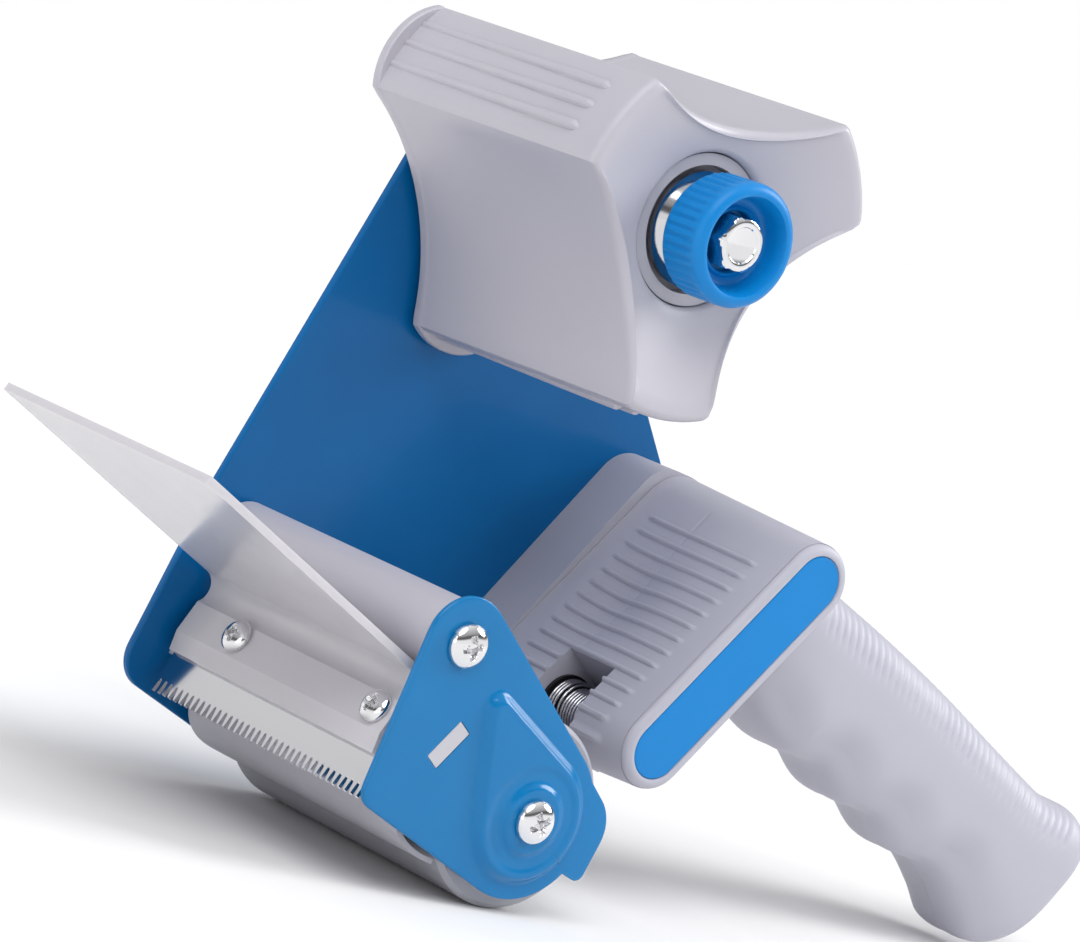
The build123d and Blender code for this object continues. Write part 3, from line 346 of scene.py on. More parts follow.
def hub_ribs(angle, y):
    """Height of the three slim core ribs on each lobe."""
    if y > RIB_FAR or y < RIB_NEAR:
        return 0.0
    off = (angle - LOBE_ANGLE + 60) % 120 - 60
    run = smoothstep(32, -26, y)
    tall, width = 0.45 + 0.5 * run, 0.62 + 0.42 * run
    for rib in CORE_RIBS:
        across = radians(off - rib) * RIB_RADIUS / width
        beyond = max(RIB_ROUND - y, 0.0) / width
        if across ** 2 + beyond ** 2 < 1:
            return tall * sqrt(1 - across ** 2 - beyond ** 2)
    return 0.0


def hub_lip(angle):
    """Radius of the arc-shaped stops at the plate end."""
    off = radians((angle - LOBE_ANGLE + 60) % 120 - 60)
    if abs(off) >= LIP_HALF:
        return 0.0
    return LIP_CENTRE * cos(off) + sqrt(LIP_ROUND ** 2 - (LIP_CENTRE * sin(off)) ** 2)


def dish(radius):
    """Station of the hollowed open face at a radius."""
    share = (DISH_EDGE - radius) / (DISH_EDGE - RECESS_RADIUS)
    return HUB_NEAR + DISH_DEPTH * min(max(share, 0.0), 1.0)


hub_angles = []
for lobe in range(3):
    start = LOBE_ANGLE + 120 * lobe
    hub_angles += [start - 12 + 0.3 * k for k in range(80)] + [start + 12 + 1.5 * k for k in range(64)]
hub_rows = []


def hub_row(point):
    """One ring of the hub; point(angle) gives its radius and station."""
    ring = []
    for angle in hub_angles:
        reach, y = point(angle)
        turn = radians(angle)
        ring.append((HUB.x + reach * cos(turn), y, HUB.z + reach * sin(turn)))
    hub_rows.append(ring)


hub_row(lambda a: (BORE, HUB_FAR))
hub_row(lambda a: (COLUMN, HUB_FAR))
hub_row(lambda a: (COLUMN, HUB_FAR - CAVITY + 1))
hub_row(lambda a: (12.2, HUB_FAR - CAVITY))
hub_row(lambda a: (hub_reach(a, 0, 3.4), HUB_FAR - CAVITY))
hub_row(lambda a: (hub_reach(a, 0, 2.6), HUB_FAR - CAVITY + 1))
hub_row(lambda a: (hub_reach(a, HUB_FAR, 2.4), HUB_FAR))
hub_row(lambda a: (max(hub_reach(a, HUB_FAR, 0.3), hub_lip(a) - 0.3), HUB_FAR))
hub_row(lambda a: (max(hub_reach(a, HUB_FAR), hub_lip(a)), HUB_FAR - 0.3))
hub_row(lambda a: (max(hub_reach(a, HUB_FAR), hub_lip(a)), HUB_FAR - 1.9))
hub_row(lambda a: (max(hub_reach(a, HUB_FAR), hub_lip(a) - 0.3), HUB_FAR - 2.2))
hub_row(lambda a: (hub_reach(a, HUB_FAR), HUB_FAR - 2.25))


def hub_wall(fraction):
    """Ring on the outer wall, which ends at the rounded rim."""
    def point(angle):
        end = dish(hub_reach(angle, HUB_NEAR)) + ROUND
        y = WALL_START + (end - WALL_START) * fraction
        return hub_reach(angle, y) + hub_ribs(angle, y), y
    hub_row(point)


def hub_rim(step, steps=6):
    """Ring on the rounded rim of the open end."""
    beta = 0.5 * pi * step / steps
    hub_row(lambda a: (hub_reach(a, HUB_NEAR) - ROUND * (1 - cos(beta)),
                       dish(hub_reach(a, HUB_NEAR)) + ROUND * (1 - sin(beta))))


for k in range(17):
    hub_wall(0.02 + 0.83 * (k - 1) / 16 if k else 0.0)
for k in range(21):
    hub_wall(0.84 + 0.16 * k / 20)
for step in range(1, 7):
    hub_rim(step)
for step in range(1, 15):
    hub_row(lambda a: ((hub_reach(a, HUB_NEAR) - ROUND) * (1 - step / 14) + (RECESS_RADIUS + 0.8) * step / 14,
                       dish((hub_reach(a, HUB_NEAR) - ROUND) * (1 - step / 14)
                            + (RECESS_RADIUS + 0.8) * step / 14)))
hub_row(lambda a: (RECESS_RADIUS + 0.25, dish(RECESS_RADIUS) + 0.15))
hub_row(lambda a: (RECESS_RADIUS, dish(RECESS_RADIUS) + 0.7))
hub_row(lambda a: (RECESS_RADIUS, RECESS_FLOOR))
hub_row(lambda a: (BORE, RECESS_FLOOR))
hub_row(lambda a: (BORE, HUB_FAR))
hub = new_mesh("tape_hub", [p for ring in hub_rows for p in ring],
               grid_faces(len(hub_rows), len(hub_angles)), "hub", "hub_plastic", smooth=32, weld=True)
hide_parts("hub_core")
paint(hub, HUB_WHITE)

# --------------------------------------------------- brake knob, bolt and springs
KNOB_BACK = -32.6
KNURLS = 40
knob_profile = [(3.05, 0), (11.0, 0), (11.8, 0.25), (12.2, 0.9)]
knob_profile += [(12.2, 0.9 + 7.6 * k / 12) for k in range(1, 13)]
knob_profile += [(12.2 - 2.0 * (1 - cos(0.5 * pi * k / 8)), 9.1 + 2.0 * sin(0.5 * pi * k / 8))
                 for k in range(1, 9)]
knob_profile += [(9.75, 10.95), (9.55, 10.5), (9.2, 8.2), (8.8, 6.4), (8.3, 5.75), (7.6, 5.6), (7.0, 5.75),
                 (6.7, 6.3), (6.3, 6.45), (6.0, 6.2), (5.9, 5.4), (5.85, 4.2), (3.05, 4.2), (3.05, 0)]


def knurl(angle, row):
    """Shallow flutes that fade out before the rounded front edge."""
    radius, station = knob_profile[row]
    if radius < 11.9:
        return 0.0
    depth = 0.42 * smoothstep(0.5, 1.4, station) * (1 - smoothstep(7.4, 9.4, station))
    return -depth * (0.5 + 0.5 * cos(KNURLS * angle)) ** 1.6


knob = new_mesh("brake_knob_fluted", *lathe(knob_profile, 8 * KNURLS, (HUB.x, KNOB_BACK, HUB.z), knurl),
                "brake_screw", "blue_plastic", smooth=45, weld=True)
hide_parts("brake_knob")
paint(knob, BLUE_PLASTIC)

HEAD_SEAT = -36.8
THREAD = 1.0
bolt_profile = [(0, -80.8), (2.5, -80.8), (2.98, -80.3)]
bolt_profile += [(2.98 if k % 2 else 2.62, -80.0 + 0.5 * THREAD * k) for k in range(56)]
bolt_profile += [(2.98, -51.8), (2.98, 0), (5.2, 0), (5.9, 0.15), (5.9, 4.3), (5.9, 4.75), (5.45, 5.1),
                 (5.0, 5.4), (4.55, 5.6), (3.9, 5.6), (3.6, 5.5), (3.35, 5.2), (2.4, 5.05), (0.01, 5.0)]


def hexagon(angle, row):
    """Six flats on the head, cut off by the round chamfer."""
    radius, station = bolt_profile[row]
    if station < 0.1 or radius < 4.9:
        return 0.0
    flat = 5.0 / cos((angle % (pi / 3)) - pi / 6)
    return min(radius, flat) - radius


bolt = new_mesh("brake_bolt", *lathe(bolt_profile, 144, (HUB.x, HEAD_SEAT, HUB.z), hexagon),
                "brake_screw", "chrome", smooth=28, weld=True)
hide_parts("hub_bolt")
paint(bolt, CHROME)


def helix(centre, start, end, turns, radius, radius_end=None, per_turn=36, hooks=0.0):
    """Points of a wire wound about a cross axis between two stations."""
    points = []
    count = int(turns * per_turn)
    for step in range(count + 1):
        f = step / count
        reach = radius if radius_end is None else radius + (radius_end - radius) * smoothstep(0.22, 0.3, f)
        angle = 2 * pi * turns * f
        points.append(Vector((centre[0] + reach * cos(angle), start + (end - start) * f,
                              centre[1] + reach * sin(angle))))
    if hooks:
        ahead = (points[-1] - points[-2]).normalized()
        points += [points[-1] + ahead * hooks * k / 4 for k in range(1, 5)]
    return points


brake_coil = new_mesh("brake_coil", *tube(helix((HUB.x, HUB.z), -26.3, -30.9, 5, 5.14), 0.42, 8),
                      "brake_screw", "zinc_steel", smooth=60)
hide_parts("brake_spring")
paint(brake_coil, STEEL)

# --------------------------------------------------------- cross-recessed screws
def screw_head(centre, axis, radius, height, shank, length, spin):
    """Domed head with a pressed cross and a shank; centre is the underside of the head."""
    rings, segments = 26, 96
    side = axis.orthogonal().normalized()
    up = axis.cross(side)
    verts = []
    for ring in range(rings):
        r = radius * max(1 - (ring / (rings - 1)) ** 1.15, 0.002)
        for k in range(segments):
            angle = 2 * pi * k / segments
            x, y = r * cos(angle + spin), r * sin(angle + spin)
            rise = height * max(1 - (r / radius) ** 2.5, 0.0) ** 0.55
            arm = 0.15 * radius * (1 - 0.25 * r / radius)
            ends = smoothstep(0.56 * radius, 0.46 * radius, r)
            cross = smoothstep(arm + 0.1, arm - 0.06, min(abs(x), abs(y)))
            sink = 0.52 * height * cross * ends * (1.15 - 0.5 * r / radius)
            verts.append(centre + (side * (r * cos(angle)) + up * (r * sin(angle))
                                   + axis * (0.28 * height + 0.72 * rise - sink)))
    edge = []
    turns = [2 * pi * k / segments for k in range(segments)]
    for reach, rise in ((shank, -length), (shank, 0), (radius - 0.25, 0), (radius, 0.12 * height)):
        edge += [centre + side * (reach * cos(turn)) + up * (reach * sin(turn)) + axis * rise
                 for turn in turns]
    verts = edge + verts
    faces = grid_faces(rings + 4, segments)
    last = len(verts) - segments
    return verts, faces + [tuple(range(segments)), tuple(range(last, last + segments))]


def screws(name, node, places, sizes, mat, slot, spins):
    """One piece for the screws of a CAD node."""
    parts = [screw_head(Vector(c), Vector(a).normalized(), *sizes, spin)
             for (c, a), spin in zip(places, spins)]
    piece = new_mesh(name, *joined(parts), "frame", slot, smooth=38)
    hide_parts(node)
    paint(piece, mat)


SIDE_FACE, SIDE_SHEET, BACK_OUTER = -38.1, 1.2, 36.7
SIDE_OUTER = SIDE_FACE - SIDE_SHEET
BOSS_FACE = SIDE_OUTER - 2.1
LEAN = radians(66.0)
EDGE = Vector((-87.8, 17.2))


def from_blade(up, out, y=0.0):
    """Point measured up the blade from its edge and out from its front face."""
    return Vector((EDGE.x + up * cos(LEAN) - out * sin(LEAN), y, EDGE.y + up * sin(LEAN) + out * cos(LEAN)))


NEAR, FAR = Vector((0, -1, 0)), Vector((0, 1, 0))
OUT = Vector((-sin(LEAN), 0, cos(LEAN)))
# head radius, head height, shank radius, shank length
FRAME_SCREW, FLAP_SCREW, REAR_SCREW = (4.4, 2.6, 1.85, 10), (3.5, 2.2, 1.45, 6), (4.0, 2.2, 1.7, 40)
screws("guide_pan_screws", "guide_screws", (((GUIDE.x, SIDE_OUTER, GUIDE.z), NEAR),
                                           ((GUIDE.x, BACK_OUTER, GUIDE.z), FAR)),
       FRAME_SCREW, CHROME, "chrome", (0.5, 1.1))
screws("roller_pan_screws", "roller_screws", (((ROLLER.x, BOSS_FACE, ROLLER.z), NEAR),
                                              ((ROLLER.x, BACK_OUTER, ROLLER.z), FAR)),
       FRAME_SCREW, CHROME, "chrome", (0.2, 0.8))
screws("flap_pan_screws", "flap_screws", [(from_blade(16.3, 2.8, y), OUT) for y in (15.7, -30.3)],
       FLAP_SCREW, CHROME, "chrome", (0.3, 0.9))
GRIP_LOW, GRIP_HIGH = Vector((-6.8, 34.2)), Vector((20.8, 73.2))
rear = [GRIP_LOW.lerp(GRIP_HIGH, f) for f in (0.33, 0.67, 1.0)]
screws("grip_pan_screws", "grip_screws", [((p.x, BACK_OUTER, p.y), FAR) for p in rear],
       REAR_SCREW, STEEL, "zinc_steel", (0.1, 0.7, 1.2))

# ------------------------------------------------------------------ side plate
def hull(circles):
    """Convex outline round circles given as (x, z, radius)."""
    points = sorted({(round(x + r * cos(k * pi / 48), 5), round(z + r * sin(k * pi / 48), 5))
                     for x, z, r in circles for k in range(96)})
    chains = []
    for run in (points, points[::-1]):
        chain = []
        for p in run:
            while len(chain) > 1 and ((chain[-1][0] - chain[-2][0]) * (p[1] - chain[-2][1])
                                      - (chain[-1][1] - chain[-2][1]) * (p[0] - chain[-2][0])) <= 0:
                chain.pop()
            chain.append(p)
        chains += chain[:-1]
    return [Vector(p) for p in chains]


def reach_to(outline, centre, angle):
    """Distance from a centre to an outline in a direction."""
    way = Vector((cos(angle), sin(angle)))
    best = 0.0
    for i, a in enumerate(outline):
        b = outline[(i + 1) % len(outline)]
        span = b - a
        cross = way.x * span.y - way.y * span.x
        if abs(cross) < 1e-9:
            continue
        gap = a - centre
        along = (gap.x * span.y - gap.y * span.x) / cross
        share = (gap.x * way.y - gap.y * way.x) / cross
        if along > 0 and -1e-6 <= share <= 1 + 1e-6:
            best = max(best, along)
    return best


def teardrop(x, z):
    """Signed distance to the pressed teardrop, negative inside."""
    low, high = Vector((ROLLER.x, ROLLER.z)), Vector((ROLLER.x - 15, ROLLER.z + 19.5))
    big, small = 13.3, 3.4
    axis = high - low
    length = axis.length
    axis.normalize()
    p = Vector((x, z)) - low
    up, out = p.dot(axis), abs(p.x * axis.y - p.y * axis.x)
    b = (big - small) / length
    a = sqrt(1 - b * b)
    k = -b * out + a * up
    if k < 0:
        return sqrt(out * out + up * up) - big
    if k > a * length:
        return sqrt(out * out + (up - length) ** 2) - small
    return out * a + up * b - big


def pressing(x, z):
    """Height pressed out of the side plate."""
    r = sqrt((x - ROLLER.x) ** 2 + (z - ROLLER.z) ** 2)
    ring = 0.28 * smoothstep(11.0, 9.4, r) * smoothstep(6.6, 8.0, r)
    return 1.6 * smoothstep(0.25, -1.9, teardrop(x, z)) + 0.5 * smoothstep(7.3, 6.2, r) - ring


ROLLER_XZ = Vector((ROLLER.x, ROLLER.z))
plate_hull = hull(((GUIDE.x, GUIDE.z, 9.3), (HUB.x - 42.3, 19.6, 4), (ROLLER.x, ROLLER.z, 16.4)))
lobe_hull = hull(((GUIDE.x, GUIDE.z, 9.3), (ROLLER.x + 12.4, ROLLER.z - 0.5, 8.2),
                  (ROLLER.x + 16.7, ROLLER.z - 8.6, 2)))
PLATE_STEPS = 300
rim_reach = [max(reach_to(plate_hull, ROLLER_XZ, 2 * pi * k / PLATE_STEPS),
                 reach_to(lobe_hull, ROLLER_XZ, 2 * pi * k / PLATE_STEPS)) for k in range(PLATE_STEPS)]
plate_rows = [(f, 0.0, 0.0) for f in [0.004] + [k / 62 for k in range(1, 60)]]
plate_rows += [(1.0, 0.5 - 0.5 * sin(b), 0.5 * (1 - cos(b))) for b in (0.0, 0.4, 0.8, 1.2, 0.5 * pi)]
plate_rows += [(1.0, 0.0, SIDE_SHEET - 0.2), (1.0, 0.2, SIDE_SHEET)]
plate_rows += [(f, 0.0, SIDE_SHEET) for f in [k / 31 for k in range(29, 0, -1)] + [0.004]]
verts = []
for fraction, inset, sunk in plate_rows:
    for k in range(PLATE_STEPS):
        reach = rim_reach[k] * fraction - inset
        x = ROLLER.x + reach * cos(2 * pi * k / PLATE_STEPS)
        z = ROLLER.z + reach * sin(2 * pi * k / PLATE_STEPS)
        verts.append((x, SIDE_OUTER - pressing(x, z) + sunk, z))
faces = grid_faces(len(plate_rows), PLATE_STEPS)
last = len(verts) - PLATE_STEPS
faces += [tuple(range(PLATE_STEPS)), tuple(range(last, last + PLATE_STEPS))]
plate = new_mesh("side_plate_pressed", verts, faces, "frame", "blue_paint", smooth=42)


def cut_slot(obj, centre, size, turn):
    """Rectangular opening with softened corners through a piece."""
    verts = []
    for y in (-6.0, 6.0):
        for corner in range(4):
            sx, sz = ((1, 1), (-1, 1), (-1, -1), (1, -1))[corner]
            for k in range(5):
                a = 0.5 * pi * (corner + k / 4)
                x = sx * (0.5 * size[0] - 0.5) + 0.5 * cos(a)
                z = sz * (0.5 * size[1] - 0.5) + 0.5 * sin(a)
                verts.append(Vector((centre[0] + x * cos(turn) - z * sin(turn), SIDE_OUTER + y,
                                     centre[1] + x * sin(turn) + z * cos(turn))) * MM)
    mesh = bpy.data.meshes.new("slot_cutter")
    mesh.from_pydata(verts, [], grid_faces(2, 20) + [tuple(range(20)), tuple(range(20, 40))])
    fix_normals(mesh)
    cutter = bpy.data.objects.new("slot_cutter", mesh)
    bpy.context.scene.collection.objects.link(cutter)
    cut = obj.modifiers.new("slot", "BOOLEAN")
    cut.object = cutter
    cut.solver = "EXACT"
    bpy.context.view_layer.update()
    shape = bpy.data.meshes.new_from_object(obj.evaluated_get(bpy.context.evaluated_depsgraph_get()))
    obj.modifiers.clear()
    obj.data = shape
    bpy.data.objects.remove(cutter)
    shade(obj, 42)


tab = from_blade(18.5, -9.2)
cut_slot(plate, (tab.x, tab.z), (9.5, 3.8), radians(55))
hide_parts("side_plate")
paint(plate, PAINT)

# ----------------------------------------------------------------------- blade
PITCH, TEETH, BLADE_TOP, BLADE_SHEET = 1.9, 37, 18.8, 0.8
blade_far = 32.8
outline = [(blade_far, BLADE_TOP), (blade_far, 2.6)]
for tooth in range(TEETH):
    left = blade_far - PITCH * tooth
    outline += [(left - 0.18, 2.5), (left - 0.62, 0.35), (left - 0.80, 0.05), (left - 1.02, 0.0),
                (left - 1.16, 0.2), (left - 1.34, 2.5), (left - 1.52, 2.75), (left - 1.78, 2.75)]
outline += [(blade_far - PITCH * TEETH, 2.6), (blade_far - PITCH * TEETH, BLADE_TOP)]
count = len(outline)
verts = [from_blade(up, out - 0.12 * smoothstep(2.8, 0.0, up), y) for out in (0.0, -BLADE_SHEET)
         for y, up in outline]
faces = [tuple(range(count)), tuple(range(2 * count - 1, count - 1, -1))] + grid_faces(2, count)
blade = new_mesh("comb_blade", verts, faces, "frame", "blade_steel", smooth=25)
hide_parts("blade")
paint(blade, BLADE)

# ------------------------------------------------- pistol handle: grip and housing
PARTING, BASE_TOP, HOUSING_NEAR = 3.7, 21.7, -25.0
AXIS = (GRIP_HIGH - GRIP_LOW).normalized()
SPAN = (GRIP_HIGH - GRIP_LOW).length
NECK_TOP, NECK_BOTTOM = Vector((17.4, 76.6)), Vector((19.4, 56.0))
GRIP_SHOULDER, GRIP_TAIL, BUTT_TOP = Vector((39.0, 73.2)), Vector((117.5, 40.5)), Vector((134.8, 35.3))
BUTT_CORNER, BUTT_HIGH = Vector((139.8, 32.4)), Vector((141.2, 26.4))
BUTT_HEEL, BUTT_REST, BUTT_LOW = Vector((114.4, 3.2)), Vector((121.4, 2.2)), Vector((126.8, 7.4))
NECK_RISE, BACK_RISE, TAIL_RISE = 1.7, 1.3, -0.9
FINGER_TOP, FINGER_LOW = Vector((30.0, 46.5)), Vector((109.5, 8.7))
FINGER_PITCH, FIRST_CREST, FINGER_WAVE, FINGER_SWELL, FINGER_FALL = 22.5, 19.0, 1.2, 3.0, 0.058
HALF_WIDTH, END_WIDTH = 14.5, 9.5
GROOVES, GROOVE_START, GROOVE_DEPTH = 39, 0.19, 0.42
SCOOP_DEPTH, SCOOP_REACH = 1.5, 13.0
BACK_BULK, FRONT_BULK, SIDE_BULK = 0.62, 0.70, 0.60     # below 1 is fuller than an ellipse
SEAM_DEPTH = 0.12
GRIP_STEPS, BUTT_STEPS, SIDE_STEPS = 340, 16, 56


def bowed(start, end, rise):
    """Point over the middle of a chord, pushed out to the upper side by rise."""
    chord = (end - start).normalized()
    return (start + end) / 2 + Vector((-chord.y, chord.x)) * rise


def finger_point(step):
    """Crest (even step) or hollow (odd step) on the front of the grip, half a pitch apart."""
    line = (FINGER_LOW - FINGER_TOP).normalized()
    along = FIRST_CREST + step * FINGER_PITCH / 2
    out = FINGER_SWELL - FINGER_FALL * along + FINGER_WAVE * (-1) ** step
    return FINGER_TOP + line * along + Vector((line.y, -line.x)) * out


back_line = curve_through([NECK_TOP, bowed(NECK_TOP, GRIP_SHOULDER, NECK_RISE), GRIP_SHOULDER,
                           bowed(GRIP_SHOULDER, GRIP_TAIL, BACK_RISE), GRIP_TAIL,
                           bowed(GRIP_TAIL, BUTT_TOP, TAIL_RISE), BUTT_TOP])
front_line = curve_through([NECK_BOTTOM, FINGER_TOP, *(finger_point(step) for step in range(6)),
                            FINGER_LOW, BUTT_HEEL])
SCOOPS = [finger_point(step) for step in (-1, 1, 3, 5)]
DOWN = (back_line[-1] + front_line[-1] - back_line[0] - front_line[0]).normalized()


def grip_sections():
    """Back point, front point, half width and groove phase of each section along the grip."""
    sections = []
    for step in range(GRIP_STEPS + 1):
        f = step / GRIP_STEPS
        groove = (f - GROOVE_START) / (1 - GROOVE_START) * GROOVES if f > GROOVE_START else -1.0
        sections.append((at_progress(back_line, DOWN, f), at_progress(front_line, DOWN, f),
                         HALF_WIDTH, groove))
    for step in range(1, BUTT_STEPS + 1):
        v = step / BUTT_STEPS
        push = max((v - 0.25) / 0.75, 0.0)
        width = END_WIDTH + (HALF_WIDTH - END_WIDTH) * sqrt(max(1 - push ** 2.2, 0.0))
        sections.append((arc_through(BUTT_TOP, BUTT_CORNER, BUTT_HIGH, v),
                         arc_through(BUTT_HEEL, BUTT_REST, BUTT_LOW, v), width, -1.0))
    return sections


def grip_half(side):
    """Half of the grip from the parting plane out to one face; side is -1 for the open side."""
    verts = []
    sections = grip_sections()
    for back, front, width, groove in sections:
        middle, half = (back + front) / 2, (back - front).length / 2
        way = (back - front).normalized()
        for k in range(SIDE_STEPS + 1):
            angle = pi * k / SIDE_STEPS
            bulk, sign = (BACK_BULK, 1) if k * 2 < SIDE_STEPS else (FRONT_BULK, -1)
            along = half * abs(cos(angle)) ** bulk * sign
            out = width * sin(angle) ** SIDE_BULK if 0 < k < SIDE_STEPS else 0.0
            from_back, from_front = half - along, half + along
            point = middle + way * along
            normal = Vector((way.x * cos(angle), sin(angle), way.y * cos(angle)))
            press = 0.0
            if groove >= 0:
                wrap = smoothstep(10.5, 7.5, from_back)
                start = smoothstep(0, 0.6, groove)
                press += GROOVE_DEPTH * (1 - abs(sin(pi * groove)) ** 0.8) * wrap * start
            if from_front < 24 and out > 0:
                deep = max(smoothstep(SCOOP_REACH, 1.0, (point - c).length) for c in SCOOPS)
                press += SCOOP_DEPTH * deep * smoothstep(0.15, 0.9, sin(angle)) * smoothstep(0, 5, from_front)
            if k in (0, SIDE_STEPS):
                press += SEAM_DEPTH
            surface = Vector((point.x, PARTING + side * max(out, 0.02), point.y))
            verts.append(surface - Vector((normal.x, side * normal.y, normal.z)) * press)
    faces = grid_faces(len(sections), SIDE_STEPS + 1, closed=False)
    last = len(verts) - SIDE_STEPS - 1
    return verts, faces + [tuple(range(last, len(verts)))]


def housing_radius(y):
    """Outer radius of the tapering housing at station y."""
    return 10.2 - 2.0 * (BASE_TOP - y) / (BASE_TOP - HOUSING_NEAR)


NOTCH_NEAR, NOTCH_FAR, NOTCH_LOW, NOTCH_TOP, NOTCH_FLOOR = -8.3, 5.7, -6.8, 8.0, -6.8
FLANK_STEPS, ARC_STEPS = 232, 14
RIB_TOP, RIB_PITCH, LAST_RIB, RIB_RISE, RIB_HALF = 42.0, 3.7, 14, 0.75, 0.58
HOLLOW_DEPTH, HOLLOW_PLACE, HOLLOW_SIZE = 1.8, (23, 6.5), (12, 8.5)
flank = sorted({round(SPAN * k / FLANK_STEPS, 4) for k in range(FLANK_STEPS + 1)} | {NOTCH_TOP})
TOP_COLUMN = flank.index(NOTCH_TOP)


def housing_ribs(along, y):
    """Height of the thumb ribs, which taper off at both ends and sag at the parting line."""
    nearest = round((RIB_TOP - along) / RIB_PITCH)
    if not 0 <= nearest <= LAST_RIB:
        return 0.0
    off = abs(along - (RIB_TOP - RIB_PITCH * nearest))
    ends = smoothstep(-17.6, -15.4, y) * smoothstep(16.6, 13.8, y)
    return RIB_RISE * max(1 - (off / RIB_HALF) ** 2, 0.0) ** 0.5 * ends


def thumb_hollow(along, y):
    """Depth of the soft hollow for the thumb in the flank."""
    up = (along - HOLLOW_PLACE[0]) / HOLLOW_SIZE[0]
    across = (y - HOLLOW_PLACE[1]) / HOLLOW_SIZE[1]
    return HOLLOW_DEPTH * exp(-up ** 2 - across ** 2) * smoothstep(20.5, 14, y)


def on_handle(along, out, y):
    """Point up the handle axis from its lower end, out on the thumb side, at station y."""
    return (GRIP_LOW.x + along * AXIS.x - out * AXIS.y, y, GRIP_LOW.y + along * AXIS.y + out * AXIS.x)


def housing_ring(y, radius, ribs=True):
    """Points round the housing: along the thumb flank, over the top end, down and round the low end."""
    ring = []
    for along in flank:
        rise = housing_ribs(along, y) - thumb_hollow(along, y) if ribs else 0.0
        seam = 0.10 * smoothstep(0.35, 0.1, abs(y - PARTING)) if ribs else 0.0
        ring.append((along, radius + rise - seam))
    for k in range(1, 2 * ARC_STEPS):
        a = pi * k / (2 * ARC_STEPS)
        ring.append((SPAN + radius * sin(a), radius * cos(a)))
    for k in range(13):
        ring.append((SPAN * (1 - k / 12), -radius))
    meet = asin(min(-NOTCH_LOW / radius, 1.0))
    turns = [pi - (pi - meet) * k / ARC_STEPS for k in range(1, ARC_STEPS + 1)]
    turns += [meet * (1 - k / ARC_STEPS) for k in range(1, ARC_STEPS)]
    for a in turns:
        rise = housing_ribs(-radius * sin(a), y) if ribs and a < 1.2 else 0.0
        ring.append((-(radius + rise) * sin(a), (radius + rise) * cos(a)))
    return [on_handle(along, out, y) for along, out in ring]


def housing_skin(stations):
    """Housing wall over stations, open where the notch is, with the notch's inner walls."""
    rings = [housing_ring(y, housing_radius(y)) for y in stations]
    columns = len(rings[0])
    opening = set(range(TOP_COLUMN)) | set(range(columns - ARC_STEPS, columns))
    skip = {(row, column) for row in range(len(stations) - 1) for column in opening
            if NOTCH_NEAR - 0.01 <= stations[row] and stations[row + 1] <= NOTCH_FAR + 0.01}
    verts = [p for ring in rings for p in ring]
    faces = grid_faces(len(rings), columns, skip=skip)
    edges = {}
    for row, column in skip:
        after = (column + 1) % columns
        corners = (row * columns + column, row * columns + after, (row + 1) * columns + after,
                   (row + 1) * columns + column)
        for a, b in zip(corners, corners[1:] + corners[:1]):
            key = (min(a, b), max(a, b))
            edges[key] = edges.get(key, 0) + 1
    border = [edge for edge, uses in edges.items() if uses == 1]
    deep = {}
    for a, b in border:
        rows = {a // columns, b // columns}
        if all(abs(stations[row] - PARTING) < 1e-6 for row in rows):
            continue
        for i in (a, b):
            if i not in deep:
                p = Vector(verts[i])
                local = Vector((p.x - GRIP_LOW.x, p.z - GRIP_LOW.y))
                deep[i] = len(verts)
                verts.append(on_handle(local.dot(AXIS), NOTCH_FLOOR, p.y))
        faces.append((a, b, deep[b], deep[a]))
    return verts, faces


def notch_floor(near, far):
    """Floor of the notch between two stations."""
    corners = ((NOTCH_LOW, near), (NOTCH_TOP, near), (NOTCH_TOP, far), (NOTCH_LOW, far))
    return [on_handle(along, NOTCH_FLOOR, y) for along, y in corners], [(0, 1, 2, 3)]


def spread(low, high, count):
    """Evenly spaced stations from low to high."""
    return [low + (high - low) * k / count for k in range(count + 1)]


far_stations = (spread(PARTING, NOTCH_FAR, 5) + spread(NOTCH_FAR + 0.5, 17.0, 20)
                + [18.0, 19.0, 20.0, 21.0, 21.55])
far_skin, far_faces = housing_skin(far_stations)
seam = housing_ring(BASE_TOP, housing_radius(BASE_TOP) - 0.2, ribs=False)
columns = len(seam)
base, edge = len(far_skin), columns * (len(far_stations) - 1)
far_skin += seam
far_faces += [(edge + column, edge + (column + 1) % columns, base + (column + 1) % columns, base + column)
              for column in range(columns)]
far_parts = joined([(far_skin, far_faces), notch_floor(PARTING, NOTCH_FAR), grip_half(1)])
far_shell = new_mesh("grip_shell_far", *far_parts, "frame", "grip_plastic", smooth=40)
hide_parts("handle_far_shell")
paint(far_shell, GRIP_GREY)

near_stations = ([HOUSING_NEAR + 1.6] + spread(-22.0, -18.0, 5) + spread(-17.6, NOTCH_NEAR, 20)
                 + spread(NOTCH_NEAR + 0.6, PARTING - 0.4, 18) + [PARTING - 0.2, PARTING])
near_skin, near_faces = housing_skin(near_stations)
RIM = 1.6
rim_rings = []
for step in range(7):
    beta = 0.5 * pi * step / 6
    rim_rings.append(housing_ring(HOUSING_NEAR + RIM * (1 - sin(beta)),
                                  housing_radius(HOUSING_NEAR) - RIM * (1 - cos(beta)), ribs=False))
rim_rings += [housing_ring(HOUSING_NEAR + d, r, ribs=False)
              for r, d in ((6.35, 0.0), (6.1, 0.08), (5.97, 0.3), (5.95, 1.9), (0.5, 1.95))]
rim_verts = [p for ring in rim_rings for p in ring]
near_parts = joined([(near_skin, near_faces), notch_floor(NOTCH_NEAR, PARTING),
                     (rim_verts, grid_faces(len(rim_rings), columns)), grip_half(-1)])
near_shell = new_mesh("grip_shell_near", *near_parts, "frame", "grip_plastic", smooth=40)
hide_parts("handle_near_shell")
